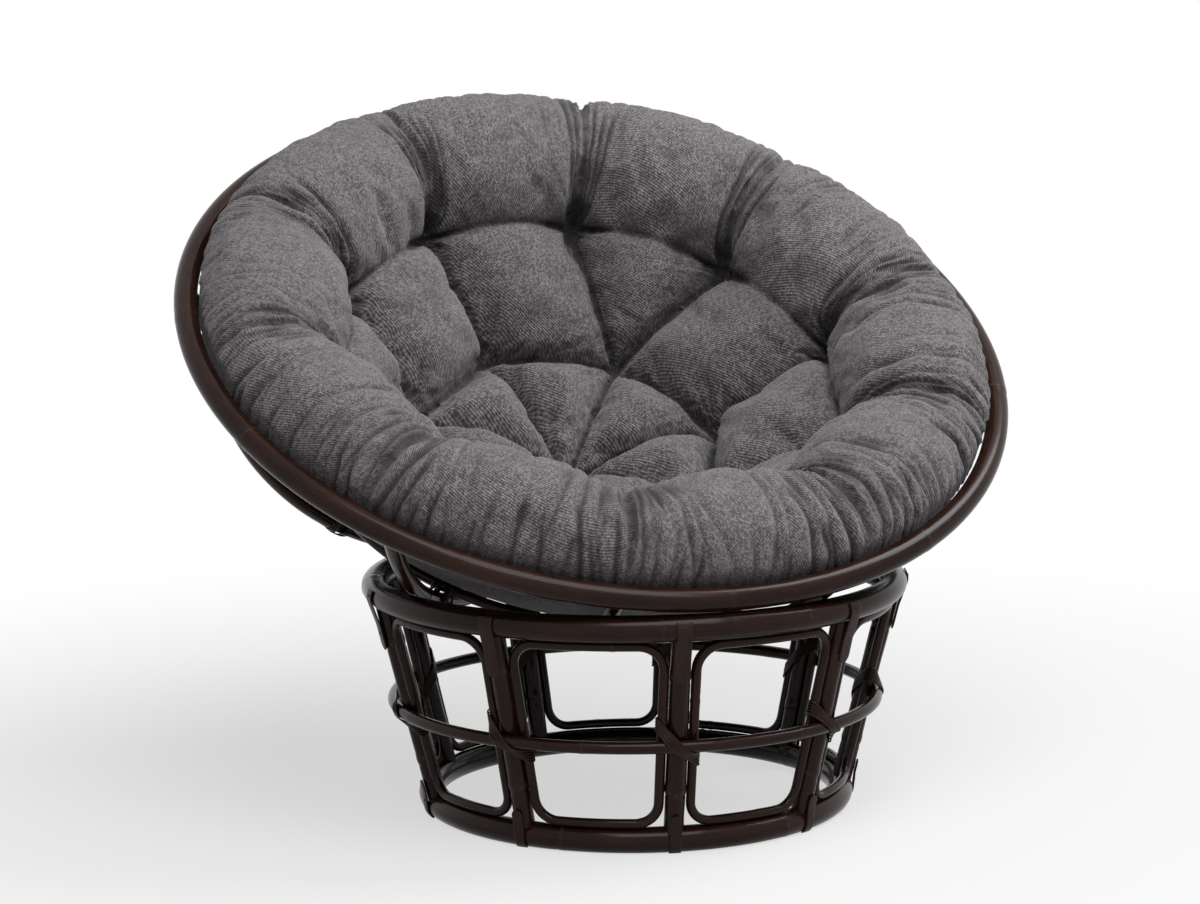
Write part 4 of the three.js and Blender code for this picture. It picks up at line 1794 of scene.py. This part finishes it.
    def _stuff(self, cover: bpy.types.Object) -> None:
        """Swells the cover with the pressure of its filling.

        Args:
            cover: the cover, in the bowl's own frame.
        """
        rest = self._coordinates(cover.data)
        group = cover.vertex_groups.new(name="held")
        held = self._held(rest)
        for level in range(1, self.hold_levels + 1):
            rows = np.nonzero(np.round(held * self.hold_levels).astype(int) == level)[0]
            group.add(rows.tolist(), level / self.hold_levels, "REPLACE")
        cloth = cover.modifiers.new("filling", "CLOTH")
        cloth.settings.quality = 4
        cloth.settings.mass = 0.35
        cloth.settings.tension_stiffness = 12
        cloth.settings.compression_stiffness = 6
        cloth.settings.shear_stiffness = 4
        cloth.settings.bending_stiffness = 0.6
        cloth.settings.shrink_min = -0.06
        cloth.settings.use_pressure = True
        cloth.settings.uniform_pressure_force = self.filling_pressure
        cloth.settings.effector_weights.gravity = 0
        cloth.settings.vertex_group_mass = "held"
        cloth.settings.pin_stiffness = 1
        cloth.point_cache.frame_start = 1
        cloth.point_cache.frame_end = self.swell_frames
        scene = bpy.context.scene
        for number in range(1, self.swell_frames + 1):
            scene.frame_set(number)
        graph = bpy.context.evaluated_depsgraph_get()
        swollen = self._coordinates(cover.evaluated_get(graph).data)
        cover.modifiers.clear()
        scene.frame_set(1)
        cover.vertex_groups.clear()
        moved = swollen - rest
        length = np.linalg.norm(moved, axis=1, keepdims=True)
        log.info("stuffing moved the cover by up to %.1f mm", float(length.max()) * 1000)
        moved *= np.minimum(1, self.swell_cap / np.maximum(length, 1e-9))
        cover.data.vertices.foreach_set("co", (rest + moved).astype(np.float32).ravel())
        cover.data.update()

    def _finish_cover(self, cover: bpy.types.Object) -> None:
        """Adds the fine folds and the finish, and puts the cushion in its place.

        Args:
            cover: the cover, in the bowl's own frame.
        """
        smooth = cover.modifiers.new("ease", "SMOOTH")
        smooth.factor = 0.5
        smooth.iterations = 1
        fine = cover.modifiers.new("fine", "SUBSURF")
        fine.levels = 1
        fine.render_levels = 1
        self._apply(cover)
        points = self._coordinates(cover.data)
        normals = np.zeros(len(points) * 3, np.float32)
        cover.data.vertex_normals.foreach_get("vector", normals)
        points = self._pressed_out(points)
        depth = self._fold_depth(points)
        # Painted shade: the cloth colour darkens with the depth of the folds, and on the underside that lies
        # in the bowl's shade.
        cavity = np.zeros((len(points), 3))
        cavity[:, 0] = np.clip(depth / self.full_shade_depth, 0, 1)
        # Painted shade on the underside, which is the same cloth, where the bowl shades it.
        cavity[:, 0] = np.maximum(cavity[:, 0], self.underside_painted_shade * self._on_underside(points))
        points = points - depth[:, None] * normals.reshape(-1, 3)
        points = self._kept_inside(points)
        mesh = cover.data
        mesh.vertices.foreach_set("co", self.where.place(points).astype(np.float32).ravel())
        mesh.update()
        cloth = self._cloth_places(mesh, points)
        for label, domain, values in (("cloth", "CORNER", cloth), ("cavity", "POINT", cavity)):
            attribute = mesh.attributes.new(label, "FLOAT_VECTOR", domain)
            attribute.data.foreach_set("vector", values.astype(np.float32).ravel())
        mesh.polygons.foreach_set("use_smooth", [True] * len(mesh.polygons))
        mesh.materials.clear()
        mesh.materials.append(self.cloth)
        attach(cover, Body.CUSHION.value)
        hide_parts("seat_cushion")
        log.info("%s: %d faces on %s", cover.name, len(mesh.polygons), Body.CUSHION.value)

    def _pressed_out(self, points: Array) -> Array:
        """Lets the outer side of the roll reach the rim all the way round.

        Args:
            points: in the bowl's own frame.

        Returns:
            The moved places.
        """
        points = points.copy()
        spread = np.hypot(points[:, 0], points[:, 1])
        height = points[:, 2] + self.rim_to_centre
        side = smooth_step((spread - self.roll_centre_radius) / self.press_ease)
        level = 1 - smooth_step(np.abs(height - self.press_rise) / self.press_ease)
        reach = mix(spread, np.maximum(spread, self.rim_clearance + self.rim_press), side * level)
        points[:, :2] *= (reach / np.maximum(spread, 1e-9))[:, None]
        return points

    def _on_underside(self, points: Array) -> Array:
        """Tells the points that lie on the bowl from those above them.

        Args:
            points: in the bowl's own frame.

        Returns:
            1 for the points on the bowl, and 0 for the others.
        """
        low = smooth_step((-self.rim_to_centre - self.underside_drop - points[:, 2]) / self.underside_ease)
        inside = np.linalg.norm(points, axis=1) - self.under_sphere + self.underside_depth
        return low * smooth_step(inside / (self.underside_depth / 2))

    def _under_roll(self, points: Array, turn: Array) -> Array:
        """Returns 1 for the points of the underside that lie inside the roll's centre, and 0 elsewhere."""
        return np.where(turn > math.pi, self._on_underside(points), 0.0)

    def _roll_place(self, points: Array) -> tuple[Array, Array, Array]:
        """Works out where points lie on the roll.

        Args:
            points: in the bowl's own frame.

        Returns:
            The angle round the bowl, the turn round the roll's centre, and the distance from it.
        """
        angle = np.arctan2(points[:, 0], -points[:, 1])
        spread = np.hypot(points[:, 0], points[:, 1]) - self.roll_centre[0]
        rise = points[:, 2] - self.roll_centre[1]
        turn = np.arctan2(rise, spread)
        return angle, np.where(turn < -math.pi / 2, turn + FULL_TURN, turn), np.hypot(spread, rise)

    def _past_core(self, away: Array) -> Array:
        """Returns 1 for the points that lie outside the core of the roll, and 0 near its middle."""
        return smooth_step((away - self.roll_core) / 0.02)

    @staticmethod
    def _looseness(angle: float) -> float:
        """Returns how loosely the cover lies: slack at the front, taut at the back."""
        return float(mix(0.5, 1.0, smooth_step(0.72 + 0.8 * math.cos(angle))))

    def _folds(self) -> list[Fold]:
        """Draws the gathers that run over the roll, closest together beside the tufts.

        Returns:
            The folds, the pleats and the fans at the tufts.
        """
        random = np.random.default_rng(Seed.FOLDS)
        folds: list[Fold] = []
        for petal in range(self.outer_count):
            tuft = self.outer_turn + petal * self.spacing
            slack = self._looseness(tuft)
            for number in range(self.fold_count):
                share = (number + random.uniform(0.1, 0.9)) / self.fold_count
                near = abs(share - 0.5) * 2
                folds.append(Fold(
                    angle=tuft + share * self.spacing,
                    drift=(0.5 - share) * random.uniform(0.02, 0.12),
                    start=random.uniform(-1.4, -0.9),
                    stop=random.uniform(0.5, 1.7) + 0.9 * near**2,
                    depth=random.uniform(*self.fold_depths) * mix(0.85, 1.15, near) * slack,
                    width=random.uniform(*self.fold_widths),
                ))
            for number in range(self.pleat_count):
                share = (number + random.uniform(0.1, 0.9)) / self.pleat_count
                drawn = mix(share, round(share), random.uniform(0.35, 0.6))
                folds.append(Fold(
                    angle=tuft + (share + drawn) / 2 * self.spacing,
                    drift=(drawn - share) / 2 * self.spacing,
                    start=random.uniform(-1.2, 0.2),
                    stop=random.uniform(2.2, 3.5),
                    depth=random.uniform(*self.pleat_depths) * slack**2,
                    width=random.uniform(*self.pleat_widths),
                ))
            for spread in self.fan_spreads:
                fan = spread * random.uniform(0.8, 1.25)
                folds.append(Fold(
                    angle=tuft + fan / 2,
                    drift=-fan / 2,
                    start=random.uniform(0.5, 1.3),
                    stop=random.uniform(4.7, 5.3),
                    depth=random.uniform(*self.fan_depths),
                    width=random.uniform(*self.fan_widths),
                ))
        return folds

    def _fold_depth(self, points: Array) -> Array:
        """Works out how far the folds and creases draw each point in.

        Args:
            points: in the bowl's own frame.

        Returns:
            The depths.
        """
        angle, turn, away = self._roll_place(points)
        depth = np.zeros(len(points))
        spread = np.hypot(points[:, 0], points[:, 1])
        for fold in self._folds():
            share = (turn - fold.start) / (fold.stop - fold.start)
            middle = fold.angle + fold.drift * (share - 0.5) * 2
            gap = ((angle - middle + math.pi) % FULL_TURN - math.pi) * spread
            near = np.abs(gap) < fold.width * 3
            ends = smooth_step(share / 0.2) * smooth_step((1 - share) / 0.3)
            shape = np.exp(-(np.abs(gap / fold.width) ** 1.5))
            depth = np.maximum(depth, np.where(near, fold.depth * ends * shape, 0))
        edge = 1 - smooth_step((away - self.roll_span + 0.005) / 0.03)
        depth *= self._past_core(away) * edge * (1 - self._under_roll(points, turn))
        depth += self._tuft_folds(points)
        return np.maximum(depth, self._grooves(points, angle, turn, away)) + self._rumple(points)

    def _grooves(self, points: Array, angle: Array, turn: Array, away: Array) -> Array:
        """Returns how deep the sharp bottoms of the creases lie under each point.

        Args:
            points: in the bowl's own frame.
            angle: of each point round the bowl.
            turn: of each point round the roll's centre.
            away: distance of each point from the roll's centre.

        Returns:
            The depth at each point.
        """
        spread = np.hypot(points[:, 0], points[:, 1])
        polar = np.arctan2(spread, -points[:, 2])
        upper = np.linalg.norm(points, axis=1) < self.under_sphere - 0.02
        gap = self.crease_gap(self.flat(polar, angle))
        gap = np.where(upper & (polar < self.outer_polar + 0.03), gap, 1.0)
        depth = self.groove_depth * np.exp(-((gap / self.groove_width) ** 1.5))
        share = self.from_gather(angle) * 2
        furrow = np.where(upper, np.abs(polar - self.outer_polar) * self.under_sphere, 1.0)
        shallow = self.groove_depth * mix(1.0, self.furrow_share, smooth_step(share / 0.7))
        depth = np.maximum(depth, shallow * np.exp(-((furrow / self.groove_width) ** 1.5)))
        beside = share / 2 * self.spacing * spread
        fade = smooth_step((turn + 0.6) / 0.9) * self._past_core(away)
        fade *= 1 - smooth_step((away - self.roll_span - 0.005) / 0.03)
        fade *= mix(0.65, 1.0, smooth_step((turn - 1.5) / 1.3)) * (1 - self._under_roll(points, turn))
        return np.maximum(depth, self.groove_depth * fade * np.exp(-((beside / self.groove_width) ** 1.5)))

    def _rumple(self, points: Array) -> Array:
        """Works out the slight unevenness that loose filling gives the cover.

        Args:
            points: in the bowl's own frame.

        Returns:
            The depths.
        """
        random = np.random.default_rng(Seed.RUMPLE)
        depth = np.zeros(len(points))
        for _ in range(self.rumple_waves):
            length = random.uniform(*self.rumple_lengths)
            wave = unit(random.normal(size=3)) * FULL_TURN / length
            depth += length * np.sin(points @ wave + random.uniform(0, FULL_TURN))
        loose = smooth_step((self.under_sphere - 0.01 - np.linalg.norm(points, axis=1)) / 0.03)
        return depth * self.rumple_share * loose

    def _tuft_folds(self, points: Array) -> Array:
        """Works out the short folds that fan out from each tuft.

        Args:
            points: in the bowl's own frame.

        Returns:
            The depths.
        """
        random = np.random.default_rng(Seed.TUFT_FOLDS)
        depth = np.zeros(len(points))
        radius = np.linalg.norm(points, axis=1)
        upper = radius < self.under_sphere - 0.012
        for polar, angle in self.tuft_places:
            tuft = self.where.on_sphere(self.under_sphere - self.tuft_fold_height, polar, angle)
            axis = self.where.on_sphere(1.0, polar, angle)
            side = np.array([math.cos(angle), math.sin(angle), 0.0])
            other = np.cross(axis, side)
            away = points - tuft
            reach = np.linalg.norm(away, axis=1)
            bearing = np.arctan2(away @ other, away @ side)
            waves = np.zeros(len(points))
            for _ in range(self.tuft_fold_count):
                lean = random.uniform(-math.pi, math.pi)
                width = random.uniform(*self.tuft_fold_widths)
                length = random.uniform(*self.tuft_fold_lengths)
                gap = (bearing - lean + math.pi) % FULL_TURN - math.pi
                line = np.exp(-((gap / width) ** 2)) * np.exp(-((reach / length) ** 2))
                waves += line * smooth_step(reach / 0.02)
            depth += np.where(upper & (reach < self.tuft_fold_reach), waves * self.tuft_fold_depth, 0)
        return depth

    def _kept_inside(self, points: Array) -> Array:
        """Keeps the cover off the hoops and the rim.

        Args:
            points: in the bowl's own frame.

        Returns:
            The moved places.
        """
        radius = np.linalg.norm(points, axis=1)
        below = points[:, 2] < -self.rim_to_centre - self.rim_band / 2
        scale = np.where(below & (radius > self.under_sphere), self.under_sphere / radius, 1.0)
        points = points * scale[:, None]
        spread = np.hypot(points[:, 0], points[:, 1])
        beside = np.abs(points[:, 2] + self.rim_to_centre) < self.rim_band
        squeeze = np.where(beside & (spread > self.rim_clearance), self.rim_clearance / spread, 1.0)
        points[:, :2] *= squeeze[:, None]
        return points

    def _cloth_places(self, mesh: bpy.types.Mesh, points: Array) -> Array:
        """Works out where on flat cloth each corner of a face was cut from.

        Args:
            mesh: the cover's mesh, all of four-sided faces.
            points: its points in the bowl's own frame.

        Returns:
            The places, one row for each corner. The upper and the lower cloth meet at a seam.
        """
        angle, turn, _ = self._roll_place(points)
        polar = np.arctan2(np.hypot(points[:, 0], points[:, 1]), -points[:, 2])
        cover_sphere = self.under_sphere - self.cover_depth
        inside = self.outer_polar * cover_sphere
        edge = self.under_sphere - self.pad_height(np.full(len(points), self.outer_polar), angle)
        rise = -edge * math.cos(self.outer_polar) - self.roll_centre[1]
        start = np.arctan2(rise, edge * math.sin(self.outer_polar) - self.roll_centre[0]) % FULL_TURN
        over = inside + np.maximum(start - turn, 0) * (self.roll_radius + self.roll_swell)
        upper = np.where(polar < self.outer_polar, polar * cover_sphere, over)
        beneath = (turn < self.seam_turn) | (turn > math.pi)
        low = (np.linalg.norm(points, axis=1) > self.under_sphere - self.underside_depth / 2) & beneath
        corners = np.zeros(len(mesh.loops), np.int32)
        mesh.loops.foreach_get("vertex_index", corners)
        faces = corners.reshape(-1, 4)
        below = np.repeat(low[faces].mean(axis=1) > 0.5, 4)
        reach = np.where(below, polar[corners] * self.under_sphere, upper[corners])
        return on_circle(reach, angle[corners], below * 1.0)

    def _ties(self) -> None:
        """Makes the crossed threads at the bottom of each tuft."""
        random = np.random.default_rng(Seed.TUFT_TIES)
        for number, (polar, angle) in enumerate(self.tuft_places):
            normal = -self.where.turn(self.where.on_sphere(1.0, polar, angle))
            depth = self.under_sphere - self.tuft_thickness - self.tie_sink
            middle = self.where.place(self.where.on_sphere(depth, polar, angle))
            side = unit(np.cross(normal, np.array([0.13, 0.31, 0.9])))
            other = np.cross(normal, side)
            strands = []
            for k in range(4):
                turn = random.uniform(0, 0.5) + k * math.pi / 4
                direction = math.cos(turn) * side + math.sin(turn) * other
                shares = np.linspace(-1, 1, 15)
                lift = self.tie_rise * (1 - shares**2) + self.thread_radius / 2 * k
                line = middle + shares[:, None] * self.tie_reach * direction + lift[:, None] * normal
                section = round_section(self.thread_radius, 8)
                strands.append(Sweep(line, normal).skin(section, Seed.THREADS + k, 0.0))
            surface = strands[0].joined(*strands[1:])
            add_piece(f"tuft_tie_{number + 1}", surface, self.thread, Body.CUSHION)


# The studio


@dataclass
class Studio:
    """A pale floor, soft lamps and a camera where the photograph was taken from."""

    camera_place: tuple[float, float, float] = (-1.30518, -3.57027, 0.95322)
    camera_right: tuple[float, float, float] = (0.938522, -0.345072, -0.010052)
    camera_up: tuple[float, float, float] = (0.055628, 0.122433, 0.990917)
    lens: float = 86.67
    floor_half: float = 14.0
    soft_light: float = 0.18
    lamp_aim: tuple[float, float, float] = (0, 0, 0.45)

    def build(self) -> None:
        """Makes the camera, the floor, the lamps and the world."""
        self._camera()
        self._floor()
        self._lamp("key", (1.9, -0.3, 3.0), 1.7, 80)
        self._lamp("front", (-0.2, -1.8, 3.1), 2.3, 94)
        self._world()
        bpy.context.scene.view_settings.view_transform = "Standard"

    def _camera(self) -> None:
        """Sets the camera."""
        data = bpy.data.cameras.new("camera")
        data.sensor_fit = "HORIZONTAL"
        data.sensor_width = 36
        data.lens = self.lens
        camera = bpy.data.objects.new("camera", data)
        bpy.context.scene.collection.objects.link(camera)
        right = Vector(self.camera_right).normalized()
        back = right.cross(Vector(self.camera_up)).normalized()
        up = back.cross(right)
        turn = Matrix((right, up, back)).transposed()
        camera.matrix_world = Matrix.Translation(self.camera_place) @ turn.to_4x4()
        bpy.context.scene.camera = camera

    def _floor(self) -> None:
        """Lays the floor."""
        half = self.floor_half
        mesh = bpy.data.meshes.new("floor")
        corners = [(-half, -half, 0), (half, -half, 0), (half, half, 0), (-half, half, 0)]
        mesh.from_pydata(corners, [], [(0, 1, 2, 3)])
        mesh.materials.append(PaleFloorFinish("pale_floor").material())
        floor = bpy.data.objects.new("floor", mesh)
        bpy.context.scene.collection.objects.link(floor)

    def _lamp(self, name: str, place: tuple[float, float, float], size: float, power: float) -> None:
        """Hangs a square lamp that looks at the chair.

        Args:
            name: the lamp's name.
            place: where it hangs.
            size: length of its sides.
            power: in watts.
        """
        data = bpy.data.lights.new(name, "AREA")
        data.size = size
        data.energy = power
        lamp = bpy.data.objects.new(name, data)
        bpy.context.scene.collection.objects.link(lamp)
        aim = Vector(self.lamp_aim) - Vector(place)
        lamp.matrix_world = Matrix.Translation(place) @ aim.to_track_quat("-Z", "Y").to_matrix().to_4x4()

    def _world(self) -> None:
        """Sets a soft world that the camera sees as white."""
        world = bpy.data.worlds.new("studio")
        bpy.context.scene.world = world
        graph = Graph(world)
        soft, white = [
            graph.node("ShaderNodeBackground", {}, {"Color": (1, 1, 1, 1), "Strength": strength})
            for strength in (self.soft_light, 1.0)
        ]
        shader = graph.node("ShaderNodeMixShader", {}, {0: graph.seen_directly(), 1: soft, 2: white})
        graph.surface(shader, "ShaderNodeOutputWorld")


def main() -> None:
    """Builds the studio and the chair."""
    logging.basicConfig(level=logging.INFO, format="%(asctime)s %(name)s: %(message)s")
    Studio().build()
    pole = PoleFinish("espresso_rattan").material()
    peel = PoleFinish(
        "espresso_peel",
        dark=(0.013, 0.006, 0.0044),
        light=(0.034, 0.0165, 0.0115),
        fibre=0.0008,
        roughness=0.42,
    ).material()
    cloth = ClothFinish("heather_twill").material()
    thread = PoleFinish(
        "dark_thread",
        dark=(0.012, 0.01, 0.011),
        light=(0.025, 0.022, 0.024),
        roughness=0.8,
        coat=0.0,
    ).material()
    where = BowlFrame()
    Stand(pole, peel).build()
    Bowl(where, pole, peel).build()
    Cushion(where, cloth, thread).build()


if __name__ == "__main__":
    main()
